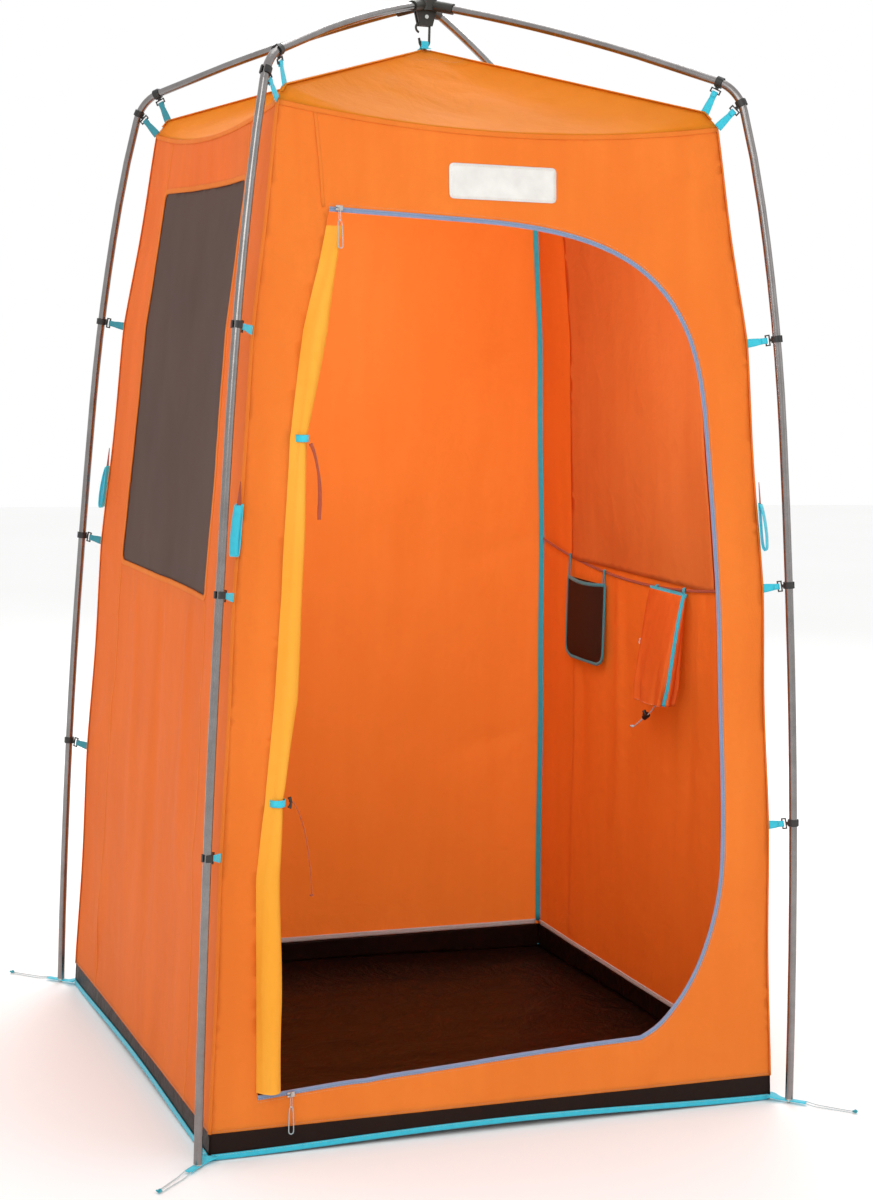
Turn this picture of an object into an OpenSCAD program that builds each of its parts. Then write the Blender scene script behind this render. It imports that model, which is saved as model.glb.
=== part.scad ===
// Free-standing privacy shower tent: four shock-corded pole legs meet in a hub,
// and a fabric cabin hangs inside them from clips. Millimetres, +Z up, the door faces -Y.

/* [Frame] */
// Distance between the axes of neighbouring pole feet
foot_span = 1220; // [1000:10:1450]
// Length of one pole section, from joint to joint
section_l = 443; // [360:1:540]
// Outside diameter of the pole tube
pole_d = 16; // [12:0.5:19]
// Wall of the pole tube
pole_wall = 0.8; // [0.6:0.1:1.5]
// Radius of the bend at each shoulder
bend_r = 86.5; // [70:0.5:110]
// Length of ferrule on each side of a pole joint
ferrule_l = 35; // [20:1:60]
// Radius of the hub out to the mouths of its sockets
hub_r = 64; // [56:1:80]
// Diameter of the wire that the hub's hook is bent from
hook_wire_d = 5; // [3:0.5:6]
// Inside radius of the hook
hook_r = 8; // [7:0.5:12]

/* [Fabric] */
// Thickness of every wall, floor and roof panel
fabric_t = 2; // [1.5:0.5:3]
// Drop from the shoulder clip's side to the top corner of a wall
corner_drop = 46; // [30:1:70]
// Gap between a pole's axis and the cabin's corner at the lowest clip
tab_reach = 50; // [40:1:80]
// Inset of the cabin's floor corner from the pole foot, along the diagonal
foot_reach = 38; // [30:1:60]
// Height of the dark band around the floor
band_h = 60; // [40:1:100]
// Sag of the wall's top edge between two corners
top_sag = 35; // [15:1:60]
// Distance from the hub's middle down to the roof's peak
peak_drop = 93; // [80:1:120]
// Width of the webbing of the tabs and loops
webbing_w = 14; // [10:1:20]
// Thickness of the webbing
webbing_t = 1.5; // [1:0.25:2.5]

/* [Door and windows] */
// Height of the door's upper left corner
door_top = 1728; // [1400:1:1800]
// Height of the sill at its left end
sill_z = 113; // [90:1:200]
// Width of the zip tape
zip_w = 12; // [8:1:20]
// Radius of the rolled-up door
roll_r = 22; // [14:1:30]
// Half width of a window at its top
window_top_w = 294; // [200:1:340]
// Half width of a window at its bottom
window_base_w = 338; // [220:1:380]
// Height of a window's bottom edge
window_z = 1010; // [850:1:1100]
// Height of a window's top edge
window_top_z = 1788; // [1500:1:1830]

/* [Fittings] */
// Width of the mesh pocket
pocket_w = 200; // [120:1:240]
// Depth of the mesh pocket from mouth to base
pocket_h = 185; // [120:1:240]
// Width of the hanging bag
bag_w = 170; // [120:1:220]
// Height of the hanging bag
bag_h = 243; // [150:1:280]
// Thickness of the hanging bag at its foot
bag_depth = 62; // [40:1:90]

/* [Hidden] */

smooth = 32;
fine = 24;
reach = 3000;
bite = 1;

// legs, seen in the vertical plane through one foot and the hub: [radius, height, lean inwards]
foot_radius = foot_span / 2 * sqrt(2);
tip_h = 9;
first_lean = 0.9;
turn_foot = 1.4;
turn_lower = 1.8;
turn_upper = 1.2;
turn_top = 5.7;
turn_rise = 5;
turn_bend = 55;
turn_after = 2;
turn_arm = 6;
rise_l = 185;
bend_l = bend_r * turn_bend * PI / 180;
after_l = section_l - rise_l - bend_l;
arm_end_r = hub_r - 34;

function chord(l, turn) = turn == 0 ? l : l * sin(turn / 2) / (turn / 2 * PI / 180);
function along(s, l, turn) = [s[0] - chord(l, turn) * sin(s[2] + turn / 2),
                              s[1] + chord(l, turn) * cos(s[2] + turn / 2), s[2] + turn];

leg_foot = [foot_radius, tip_h, first_lean];
leg_1 = along(leg_foot, section_l, turn_foot);
leg_2 = along(leg_1, section_l, turn_lower);
leg_3 = along(leg_2, section_l, turn_upper);
leg_4 = along(leg_3, section_l, turn_top);
bend_in = along(leg_4, rise_l, turn_rise);
bend_out = along(bend_in, bend_l, turn_bend);
leg_5 = along(bend_out, after_l, turn_after);
arm_chord = (leg_5[0] - arm_end_r) / sin(leg_5[2] + turn_arm / 2);
arm_l = arm_chord * (turn_arm / 2 * PI / 180) / sin(turn_arm / 2);
arm_end = along(leg_5, arm_l, turn_arm);
hub_z = arm_end[1] + arm_end_r / tan(arm_end[2]);

// the stretches of one leg: [start, length, turn]
stretches = [[leg_foot, section_l, turn_foot], [leg_1, section_l, turn_lower],
             [leg_2, section_l, turn_upper], [leg_3, section_l, turn_top],
             [leg_4, rise_l, turn_rise], [bend_in, bend_l, turn_bend],
             [bend_out, after_l, turn_after], [leg_5, arm_l, turn_arm]];
joint_before = [0, 1, 2, 3, 6];
leg_turns = [-135, -45, 135, 45];

function part_way(k, l) = along(stretches[k][0], l, stretches[k][2] * l / stretches[k][1]);

// points down the middle of a run of stretches
stretch_steps = [1, 1, 1, 2, 2, 10, 1, 2];
function leg_route(from, to) = concat(
    [for (k = [from:to]) for (j = [0:stretch_steps[k] - 1])
        let(p = part_way(k, stretches[k][1] * j / stretch_steps[k])) [p[0], p[1], 0]],
    [let(p = part_way(to, stretches[to][1])) [p[0], p[1], 0]]);

// the clips, in the same plane: three on the leg and one on each side of the bend
clip_above = [118, 147, 184];
clip_in_bend = 0.2;
clip_past_bend = 0.95;
clips = [part_way(1, clip_above[0]), part_way(2, clip_above[1]), part_way(3, clip_above[2]),
         part_way(5, bend_l * clip_in_bend), part_way(5, bend_l * clip_past_bend)];

// the cabin's corner line: radius along the diagonal and height, from the floor up
tab_sag = 10;
tab_spread = [0, 2, 9];
ridge_in = 28;
ridge_drop = 59;
corner_pts = [[foot_radius - foot_reach, 0],
              for (k = [0:2]) [clips[k][0] - tab_reach - tab_spread[k], clips[k][1] - tab_sag],
              [clips[3][0] - corner_drop, clips[3][1] - corner_drop]];
ridge_pt = [clips[4][0] - ridge_in, clips[4][1] - ridge_drop];
profile = [for (p = corner_pts) [p[1], p[0] / sqrt(2)]];
wall_top = corner_pts[4][1];
top_r = profile[4][1];
peak_z = hub_z - peak_drop;

function wall_r(z) = lookup(z, profile);
function lean(z) = atan((wall_r(z - 20) - wall_r(z + 20)) / 40);
function rise(u) = wall_top - top_sag * (1 - u * u);
function levels(z0, z1) = concat([z0], [for (p = profile) if (p[0] > z0 && p[0] < z1) p[0]], [z1]);
function backwards(list) = [for (k = [len(list) - 1:-1:0]) list[k]];

// one point of a cubic curve
function bezier(p, t) = pow(1 - t, 3) * p[0] + 3 * t * pow(1 - t, 2) * p[1]
                      + 3 * t * t * (1 - t) * p[2] + pow(t, 3) * p[3];
function curve(p, n) = [for (k = [1:n]) bezier(p, k / n)];

// the door's outline in X and Z: hinge line, straight head, round corner, side, round corner, sill
door_w = door_top - sill_z;
hinge_line = [[-351, door_top], [-403, door_top - door_w * 0.134], [-434, door_top - door_w * 0.255],
              [-461, door_top - door_w * 0.548], [-494, door_top - door_w * 0.75], [-490, sill_z]];
head_end = [-60, door_top - 9];
side_high = [411, door_top - 388];
side_low = [457, sill_z + 382];
sill_end = [288, sill_z + 44];
curve_steps = 10;
door_curve = concat([head_end],
    curve([head_end, [290, door_top - 20], [385, door_top - 128], side_high], curve_steps),
    curve([side_high, [425, side_high[1] - 120], [458, side_low[1] + 255], side_low], curve_steps),
    curve([side_low, [457, sill_z + 257], [400, sill_z + 97], sill_end], curve_steps));
head_start = [hinge_line[0][0], door_top];
sill_start = [hinge_line[5][0], sill_z];
zip_line = concat([head_start], door_curve, [sill_start]);
door_outline = concat(zip_line, [for (k = [4:-1:1]) hinge_line[k]]);

function unit(v) = v / norm(v);
function left_of(line, k, d) = let(
    a = line[max(k - 1, 0)], b = line[min(k + 1, len(line) - 1)], u = unit(b - a))
    line[k] + d * [-u[1], u[0]];
function beside(line, d) = [for (k = [0:len(line) - 1]) left_of(line, k, d)];

// cords: their routes, from the piece they leave to their free end
stake_d = 2.2;
pull_d = 2;
tie_d = 2;
ribbon_w = 8;
stake_route = [[898, -6, 5.6], [905, -6.4, 4.4], [913, -6.6, 3], [922, -6.6, 2.2], [932, -6.4, 2], [943, -6, 2],
               [954, -5.6, 2], [965, -5.2, 2], [976, -5, 2], [986, -4.9, 2], [992, -4.4, 2], [996, -2.4, 2],
               [997, 0, 2], [996, 2.4, 2], [992, 4.4, 2], [986, 4.9, 2], [976, 5, 2], [965, 5.2, 2],
               [954, 5.6, 2], [943, 6, 2], [932, 6.4, 2], [922, 6.6, 2.2], [913, 6.6, 3], [905, 6.4, 4.4],
               [898, 6, 5.6]];
// a pull's cord from the foot of its ring: sideways, outwards from the wall and down along it
pull_route = [[-2.6, 0, 0], [-3.4, 0, 5], [-4, 0.5, 10], [-4.2, 0.5, 15], [-4.2, 0.5, 20], [-4.4, 0.5, 25],
              [-4.6, 0.5, 30], [-4.6, 0.5, 35], [-4.6, 0.5, 40], [-4.6, 0.5, 45], [-3.4, 0.5, 48.5],
              [0, 0.5, 50], [3.4, 0.5, 48.5], [4.6, 0.5, 45], [4.6, 0.5, 40], [4.6, 0.5, 35], [4.6, 0.5, 30],
              [4.4, 0.5, 25], [4.2, 0.5, 20], [4.2, 0.5, 15], [4, 0.5, 10], [3.4, 0, 5], [2.6, 0, 0]];
ribbon_route = [[-396.5, -526, 1308], [-394, -526.5, 1303], [-391, -527, 1296], [-388.5, -527.3, 1288],
                [-386, -527.6, 1279], [-384, -528, 1270], [-382, -528.4, 1260], [-380.5, -528.8, 1250],
                [-379.4, -529.2, 1240], [-378.6, -529.6, 1230], [-378, -530, 1220], [-378, -530.4, 1210],
                [-378, -530.8, 1200], [-378.6, -531.3, 1190], [-379, -531.8, 1180], [-379, -532.4, 1170]];
tie_route = [[-434, -557, 656], [-430, -560, 657], [-426, -563, 654], [-422, -565, 647],
                [-418, -566, 638], [-414, -567, 626], [-410, -568, 614], [-406, -568, 600],
                [-403, -569, 586], [-400, -569, 570], [-398, -570, 555], [-396, -570, 540],
                [-394, -571, 525], [-393, -571, 510], [-392, -572, 495], [-391, -572, 480]];
bag_route = [[502, -166, 738], [500, -160, 729], [498, -153, 721], [496, -145, 714], [494, -137, 708],
             [492, -129, 702], [490, -121, 696], [488, -113, 690], [486, -105, 684], [484, -97, 679]];

// two directions across a route at each of its points, turning as little as the route lets them
function tangent(route, k) = unit(route[min(k + 1, len(route) - 1)] - route[max(k - 1, 0)]);
function frames(route, k = 0, last = [0, 0, 0]) = k == len(route) ? [] : let(
    t = tangent(route, k), side = abs(t[2]) > 0.9 ? [1, 0, 0] : [0, 0, 1],
    u = unit(k == 0 ? cross(t, side) : last - (last * t) * t))
    concat([[u, cross(u, t)]], frames(route, k + 1, u));

// a plain round tube swept along a route
module tube_along(route, radii, sides = 8) {
    rings = len(route);
    across = frames(route);
    points = [for (k = [0:rings - 1]) let(f = across[k]) for (j = [0:sides - 1])
        route[k] + radii[k % len(radii)] * (cos(360 * j / sides) * f[0] + sin(360 * j / sides) * f[1])];
    walls = [for (k = [0:rings - 2]) for (j = [0:sides - 1]) let(n = (j + 1) % sides)
        [k * sides + j, k * sides + n, (k + 1) * sides + n, (k + 1) * sides + j]];
    first = [[for (j = [sides - 1:-1:0]) j]];
    last = [[for (j = [0:sides - 1]) (rings - 1) * sides + j]];
    polyhedron(points, concat(walls, first, last));
}

// the same with a bore
module pipe_along(route, r_out, r_in, sides = 24) {
    rings = len(route);
    across = frames(route);
    points = [for (r = [r_out, r_in]) for (k = [0:rings - 1]) let(f = across[k]) for (j = [0:sides - 1])
        route[k] + r * (cos(360 * j / sides) * f[0] + sin(360 * j / sides) * f[1])];
    inner = rings * sides;
    outside = [for (k = [0:rings - 2]) for (j = [0:sides - 1]) let(n = (j + 1) % sides)
        [k * sides + j, k * sides + n, (k + 1) * sides + n, (k + 1) * sides + j]];
    inside = [for (f = outside) [f[3] + inner, f[2] + inner, f[1] + inner, f[0] + inner]];
    ends = [for (k = [0, rings - 1]) for (j = [0:sides - 1]) let(n = (j + 1) % sides, a = k * sides)
        k == 0 ? [a + n, a + j, inner + a + j, inner + a + n] : [a + j, a + n, inner + a + n, inner + a + j]];
    polyhedron(points, concat(outside, inside, ends));
}

// placing
module on_leg(angle) { rotate([0, 0, angle]) rotate([90, 0, 0]) children(); }
module at_station(s) { translate([s[0], s[1], 0]) rotate([0, 0, s[2]]) children(); }
module each_leg() { for (a = leg_turns) on_leg(a) children(); }

// a bent tube from one station of a leg, drawn in the leg's plane
module bent_rod(s, l, turn, r_out, r_in) {
    bend = l / (turn * PI / 180);
    at_station(s) translate([-bend, 0, 0])
        rotate_extrude(angle = turn, $fn = 360 * 8 / turn)
            translate([bend, 0]) difference() {
                circle(r_out, $fn = fine);
                circle(r_in, $fn = fine);
            }
}
module pole_stretch(k) {
    bent_rod(stretches[k][0], stretches[k][1], stretches[k][2], pole_d / 2, pole_d / 2 - pole_wall);
}

// ---- hub ----
socket_wall = 3;
socket_gap = 0.1;
socket_r = pole_d / 2 + socket_gap;
socket_lean = arm_end[2];
core_r = 24;
core_low = 14;
core_high = 15;
ear_w = 28;
ear_top_w = 44;
ear_t = 5;
ear_gap = 8;
ear_drop = 44;
pin_r = 2.5;
pin_gap = 0.05;
pin_z = hub_z - 26;
module hub_body() {
    color("#2b2a26") difference() {
        union() {
            translate([0, 0, hub_z - core_low]) cylinder(h = core_low + core_high - 4, r = core_r, $fn = smooth);
            translate([0, 0, hub_z + core_high - 4]) cylinder(h = 4, r1 = core_r, r2 = core_r - 5, $fn = smooth);
            for (a = leg_turns) on_leg(a) translate([0, hub_z, 0]) rotate([0, 90, 0])
                rotate([90 - socket_lean, 0, 0])
                    cylinder(h = hub_r, r = socket_r + socket_wall, $fn = smooth);
            for (s = [-1, 1]) translate([0, s * (ear_gap + ear_t) / 2 + ear_t / 2, hub_z]) rotate([90, 0, 0])
                linear_extrude(ear_t)
                    polygon([[-ear_w / 2, -ear_drop], [ear_w / 2, -ear_drop], [ear_top_w / 2, bite - core_low],
                             [-ear_top_w / 2, bite - core_low]]);
            horn();
        }
        for (a = leg_turns) on_leg(a) at_station(arm_end) rotate([90, 0, 0])
            cylinder(h = hub_r, r = socket_r, $fn = smooth);
        translate([0, 0, pin_z]) rotate([90, 0, 0])
            cylinder(h = 4 * ear_t + ear_gap, r = pin_r + pin_gap, center = true, $fn = smooth);
    }
}
// the small fixed hook on the left of the bracket
horn_r = 10;
horn_t = 2.3;
module horn() {
    translate([-ear_w / 2 + 2.5, -(ear_gap + ear_t) / 2, hub_z - ear_drop - 4])
        rotate([90, 0, 0]) rotate([0, 0, 80])
            rotate_extrude(angle = 170, $fn = 48) translate([horn_r, 0]) circle(horn_t, $fn = fine);
}
module hub_pin() {
    color("silver") translate([0, 0, pin_z]) rotate([90, 0, 0]) union() {
        cylinder(h = ear_gap + 2 * ear_t + 1, r = pin_r, center = true, $fn = smooth);
        translate([0, 0, ear_gap / 2 + ear_t + 0.3]) cylinder(h = 2, r = pin_r + 1.6, $fn = smooth);
    }
}
// the wire hook that holds the roof's peak, hung from the pin
hook_axis = hook_r + hook_wire_d / 2;
hook_z = peak_z + 18;
eye_r = pin_r + 0.15;
eye_wall = 3;
shoulder_z = pin_z - 11;
hook_route = concat([[0, 0, pin_z - eye_r - eye_wall / 2], [hook_axis * 0.6, 0, pin_z - 8],
                     [hook_axis, 0, shoulder_z - 5]],
                    [for (a = [0:15:180]) [hook_axis * cos(a), 0, hook_z - hook_axis * sin(a)]],
                    [[-hook_axis - 0.6, 0, hook_z + 4], [-hook_axis - 1.6, 0, hook_z + 7]]);
module hub_hook() {
    color("#3a3936") difference() {
        union() {
            translate([0, 0, pin_z]) rotate([90, 0, 0])
                cylinder(h = ear_gap - 1, r = eye_r + eye_wall, center = true, $fn = smooth);
            tube_along(hook_route, [hook_wire_d / 2], 16);
        }
        translate([0, 0, pin_z]) rotate([90, 0, 0]) cylinder(h = ear_gap, r = eye_r, center = true, $fn = smooth);
    }
}

// ---- poles ----
module roof_arms() { color("#6e6a68") each_leg() pole_stretch(7); }
module shoulder_bends() {
    color("#6e6a68") each_leg() pipe_along(leg_route(4, 6), pole_d / 2, pole_d / 2 - pole_wall);
}
module leg_tops() { color("#6e6a68") each_leg() pole_stretch(3); }
module leg_uppers() { color("#6e6a68") each_leg() pole_stretch(2); }
module leg_lowers() { color("#6e6a68") each_leg() pole_stretch(1); }
module leg_feet() { color("#6e6a68") each_leg() pole_stretch(0); }

ferrule_gap = 0.9;
ferrule_wall = 1;
ferrule_r = pole_d / 2 - pole_wall - ferrule_gap;
module pole_ferrules() {
    color("silver") each_leg() for (k = joint_before)
        at_station(stretches[k + 1][0]) rotate([90, 0, 0]) difference() {
            cylinder(h = 2 * ferrule_l, r = ferrule_r, center = true, $fn = fine);
            cylinder(h = 2 * ferrule_l + bite, r = ferrule_r - ferrule_wall, center = true, $fn = fine);
        }
}
shock_r = 1.5;
plug_l = 26;
shock_from = plug_l + 2;
module shock_cords() {
    start = part_way(0, shock_from);
    color("#d8d4c8") each_leg() tube_along(concat([[start[0], start[1], 0]], leg_route(1, 7)), [shock_r], 6);
}
// the plug in the foot of a pole, with the pin that stands in the grommet
foot_pin_r = 3;
module foot_tips() {
    color("#c9c9c6") for (a = leg_turns) on_leg(a) translate([foot_radius, 0, 0]) rotate([-90, 0, 0]) union() {
        cylinder(h = tip_h, r = foot_pin_r, $fn = smooth);
        translate([0, 0, tip_h - 1]) cylinder(h = 1, r = pole_d / 2 - 0.3, $fn = smooth);
        translate([0, 0, tip_h - bite]) cylinder(h = plug_l, r = ferrule_r - 0.5, $fn = smooth);
    }
}

// ---- clips and tabs ----
clip_gap = 0.5;
clip_wall = 2.5;
clip_h = 13;
neck_l = 8.5;
neck_w = 6;
slot_w = webbing_w + 3;
slot_h = 5;
bar_t = 2.4;
// a clip's collar, around Y, open on its outer side
module collar() {
    rotate([-90, 0, 0]) translate([0, 0, -clip_h / 2]) difference() {
        cylinder(h = clip_h, r = pole_d / 2 + clip_gap + clip_wall, $fn = smooth);
        translate([0, 0, -bite]) cylinder(h = clip_h + 2 * bite, r = pole_d / 2 + clip_gap, $fn = smooth);
        translate([0, -3, -bite]) cube([pole_d, 6, clip_h + 2 * bite]);
    }
}
// the clip's neck and slotted frame, drawn from the pole's axis towards +X, its slot along the pole
module clip_frame() {
    translate([pole_d / 2 + clip_gap + clip_wall - bite, -neck_w / 2, -neck_w / 2])
        cube([neck_l - slot_h + bite, neck_w, neck_w]);
    translate([slot_from, -bar_t / 2, 0]) difference() {
        translate([0, 0, -slot_w / 2 - bar_t]) cube([slot_h + 2 * bar_t, bar_t, slot_w + 2 * bar_t]);
        translate([bar_t, -bite, -slot_w / 2]) cube([slot_h, bar_t + 2 * bite, slot_w]);
    }
}
slot_from = pole_d / 2 + clip_gap + clip_wall + neck_l - slot_h - bite;
tab_from = slot_from + slot_h + 2 * bar_t + 0.3;
// the tabs are sewn into the corner seams, so their width runs along the seam
tab_targets = [for (k = [0:2]) corner_pts[k + 1], corner_pts[4], ridge_pt];
function tab_length(k) = norm([tab_targets[k][0] - clips[k][0], tab_targets[k][1] - clips[k][1]]);
function tab_bearing(k) = atan2(tab_targets[k][1] - clips[k][1], tab_targets[k][0] - clips[k][0]);
module at_clip(angle, k) {
    on_leg(angle) translate([clips[k][0], clips[k][1], 0]) rotate([0, 0, tab_bearing(k)])
        rotate([90, 0, 0]) children();
}
module clips_on(angle) {
    color("#1c1b1a") for (k = [0:4]) union() {
        on_leg(angle) at_station(clips[k]) collar();
        at_clip(angle, k) clip_frame();
    }
}
module clips_front_left() { clips_on(leg_turns[0]); }
module clips_front_right() { clips_on(leg_turns[1]); }
module clips_back_left() { clips_on(leg_turns[2]); }
module clips_back_right() { clips_on(leg_turns[3]); }

tab_short = 2.5;
module tabs_on(angle) {
    color("#19c6de") for (k = [0:4]) at_clip(angle, k)
        translate([tab_from, -webbing_t / 2, -webbing_w / 2])
            cube([tab_length(k) - tab_from - tab_short, webbing_t, webbing_w]);
}
module tabs_front_left() { tabs_on(leg_turns[0]); }
module tabs_front_right() { tabs_on(leg_turns[1]); }
module tabs_back_left() { tabs_on(leg_turns[2]); }
module tabs_back_right() { tabs_on(leg_turns[3]); }

// ---- cabin ----
// a strip that follows the front wall's slope, between two depths outside its face
module slope(z0, z1, out0, out1) {
    zs = levels(z0, z1);
    rotate([90, 0, 90]) translate([0, 0, -reach / 2]) linear_extrude(reach)
        polygon(concat([for (z = zs) [-wall_r(z) - out1, z]], [for (z = backwards(zs)) [-wall_r(z) - out0, z]]));
}
// the wall's outline, seen from the front, grown sideways by e
module wall_outline(z0, e) {
    zs = levels(z0, wall_top);
    steps = 12;
    rotate([90, 0, 0]) translate([0, 0, -reach / 2]) linear_extrude(reach)
        polygon(concat([for (z = zs) [wall_r(z) + e, z]],
                       [for (k = [1:steps - 1]) let(u = 1 - 2 * k / steps) [u * (top_r + e), rise(u)]],
                       [for (z = backwards(zs)) [-wall_r(z) - e, z]]));
}
module strip_outline(z0, z1, e) {
    zs = levels(z0, z1);
    rotate([90, 0, 0]) translate([0, 0, -reach / 2]) linear_extrude(reach)
        polygon(concat([for (z = zs) [wall_r(z) + e, z]], [for (z = backwards(zs)) [-wall_r(z) - e, z]]));
}
module wall(e) {
    intersection() {
        slope(band_h, wall_top, -fabric_t, 0);
        wall_outline(band_h, e);
    }
}
module through(outline) {
    rotate([90, 0, 0]) linear_extrude(reach) polygon(outline);
}
module window_shape(grow) {
    through([[-window_base_w - grow, window_z - grow], [window_base_w + grow, window_z - grow],
             [window_top_w + grow, window_top_z + grow], [-window_top_w - grow, window_top_z + grow]]);
}
module window_panel(layer, grow) {
    intersection() {
        slope(band_h, wall_top, -(layer + 1) * fabric_t, -layer * fabric_t);
        window_shape(grow);
    }
}
module front_wall() {
    color("#f5893d") difference() {
        wall(0);
        through(door_outline);
    }
}
module left_wall() {
    color("#e07b40") rotate([0, 0, -90]) difference() {
        wall(-fabric_t);
        window_shape(0);
    }
}
module right_wall() {
    color("#e07b40") rotate([0, 0, 90]) difference() {
        wall(-fabric_t);
        window_shape(0);
    }
}
module back_wall() { color("#f08a3a") rotate([0, 0, 180]) wall(0); }

module ring_of_strips(z0, z1, out0, out1) {
    for (a = [0:90:270]) rotate([0, 0, a]) intersection() {
        slope(z0, z1, out0, out1);
        strip_outline(z0, z1, out1);
    }
}
module floor_band() { color("#2a140e") ring_of_strips(fabric_t, band_h, -fabric_t, 0); }
binding_h = 14;
module base_binding() { color("#12b5d0") ring_of_strips(0, binding_h, 0, webbing_t); }
module floor_sheet() {
    half = wall_r(fabric_t);
    color("#2a140e") translate([-half, -half, 0]) cube([2 * half, 2 * half, fabric_t]);
}

// the roof: rings of points from the wall's top edge up to the peak
roof_steps = 8;
roof_rings = 7;
ridge_share = 1 - ridge_pt[0] / corner_pts[4][0];
ridge_extra = ridge_pt[1] - wall_top - ridge_share * (peak_z - wall_top);
roof_sag = 14;
shares = [0, ridge_share, for (k = [1:roof_rings]) ridge_share + (1 - ridge_share) * k / (roof_rings + 1)];
function roof_extra(s) = s == 0 ? 0 : ridge_extra * (1 - s) / (1 - ridge_share);
function roof_point(side, u, s) = let(
    z = rise(u) + (peak_z - rise(u)) * s + roof_extra(s) * pow(abs(u), 6)
        - roof_sag * sin(180 * s) * (1 - u * u),
    y = -(1 - s) * (abs(u) < 1 ? wall_r(rise(u)) : top_r), x = u * (1 - s) * top_r)
    [x * cos(side) - y * sin(side), x * sin(side) + y * cos(side), z];
module roof_canopy() {
    ring_n = 4 * roof_steps;
    rings = len(shares);
    top = [for (s = shares) for (side = [0:90:270]) for (k = [0:roof_steps - 1])
        roof_point(side, 2 * k / roof_steps - 1, s)];
    points = concat([for (p = top) p + [0, 0, fabric_t]], [[0, 0, peak_z + fabric_t]], top, [[0, 0, peak_z]]);
    under = rings * ring_n + 1;
    sheet = [for (r = [0:rings - 2]) for (k = [0:ring_n - 1]) let(n = (k + 1) % ring_n)
        for (f = [[r * ring_n + k, (r + 1) * ring_n + k, r * ring_n + n],
                  [r * ring_n + n, (r + 1) * ring_n + k, (r + 1) * ring_n + n]]) f];
    cap = [for (k = [0:ring_n - 1]) [(rings - 1) * ring_n + k, rings * ring_n, (rings - 1) * ring_n + (k + 1) % ring_n]];
    upper = concat(sheet, cap);
    lower = [for (f = upper) [f[2] + under, f[1] + under, f[0] + under]];
    edge = [for (k = [0:ring_n - 1]) let(n = (k + 1) % ring_n) for (f = [[k, n, under + n], [k, under + n, under + k]]) f];
    color("#e8942a") polyhedron(points, concat(upper, lower, edge));
}
peak_gap = 5;
module peak_loop() {
    low = peak_z + fabric_t;
    high = hook_z - hook_axis + hook_wire_d / 2 + 3;
    color("#12b5d0") rotate([90, 0, 90]) translate([0, 0, -webbing_w / 2 + 2]) linear_extrude(webbing_w - 4)
        difference() {
            translate([-peak_gap, low]) square([2 * peak_gap, high + webbing_t - low]);
            translate([-peak_gap + webbing_t, low + 2]) square([2 * (peak_gap - webbing_t), high - low - 2]);
        }
}

// ---- windows ----
seam_w = 10;
module left_mesh() { color("#66504a") rotate([0, 0, -90]) window_panel(1, seam_w); }
module right_mesh() { color("#66504a") rotate([0, 0, 90]) window_panel(1, seam_w); }
module right_privacy_panel() { color("#d9662a") rotate([0, 0, 90]) window_panel(2, 2 * seam_w); }
privacy_r = 17;
module left_privacy_roll() {
    z = window_z + privacy_r;
    color("#d9662a") translate([-wall_r(z) + 2 * fabric_t + privacy_r + 2, 0, z]) rotate([90, 0, 0])
        cylinder(h = 2 * window_base_w - 20, r = privacy_r, center = true, $fn = smooth);
}

// ---- door ----
roll_in = roll_r + 5.5;
// how far behind the wall the roll's head lies, under the hanging pull cord
head_back = 11;
// waists where the two ties grip the roll, and the full stretches between them
roll_heights = [door_top - 30, door_top - 216, door_top - 411, door_top - 595, door_top - 885, sill_z + 542,
                sill_z + 402, sill_z + 175, sill_z + 8];
roll_radii = [0.5, 1, 0.5, 0.75, 1, 0.6, 1, 1.2, 1.1];
hinge_heights = [for (p = backwards(hinge_line)) [p[1], p[0]]];
function roll_point(k) = let(z = roll_heights[k])
    [lookup(z, hinge_heights) + roll_in, -wall_r(z) + fabric_t / 2 + (k == 0 ? head_back : 0), z];
module door_roll() {
    color("#ffb63a") tube_along([for (k = [0:len(roll_heights) - 1]) roll_point(k)], roll_radii * roll_r, 16);
}
tie_h = 13;
module door_ties() {
    color("#19c6de") for (k = [2, 5]) translate(roll_point(k)) difference() {
        cylinder(h = tie_h, r = roll_radii[k] * roll_r + 3.4, center = true, $fn = smooth);
        cylinder(h = tie_h + 2, r = roll_radii[k] * roll_r + 1.8, center = true, $fn = smooth);
    }
}
module tie_ribbon() { color("#c5561c") tube_along(ribbon_route, [ribbon_w / 4]); }
module tie_cord() { color("#b5581c") tube_along(tie_route, [tie_d / 2]); }

zip_t = 1.2;
module door_zip_tape() {
    color("#8fa3c0") intersection() {
        slope(band_h, wall_top, 0.2, zip_t);
        through(concat(zip_line, backwards(beside(zip_line, zip_w))));
    }
}

// a slider on the tape: its body, the pull's bar on top, and places for both ends of the zip
slider_l = 14;
slider_w = 9;
slider_t = 4;
slider_gap = 0.4;
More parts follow.
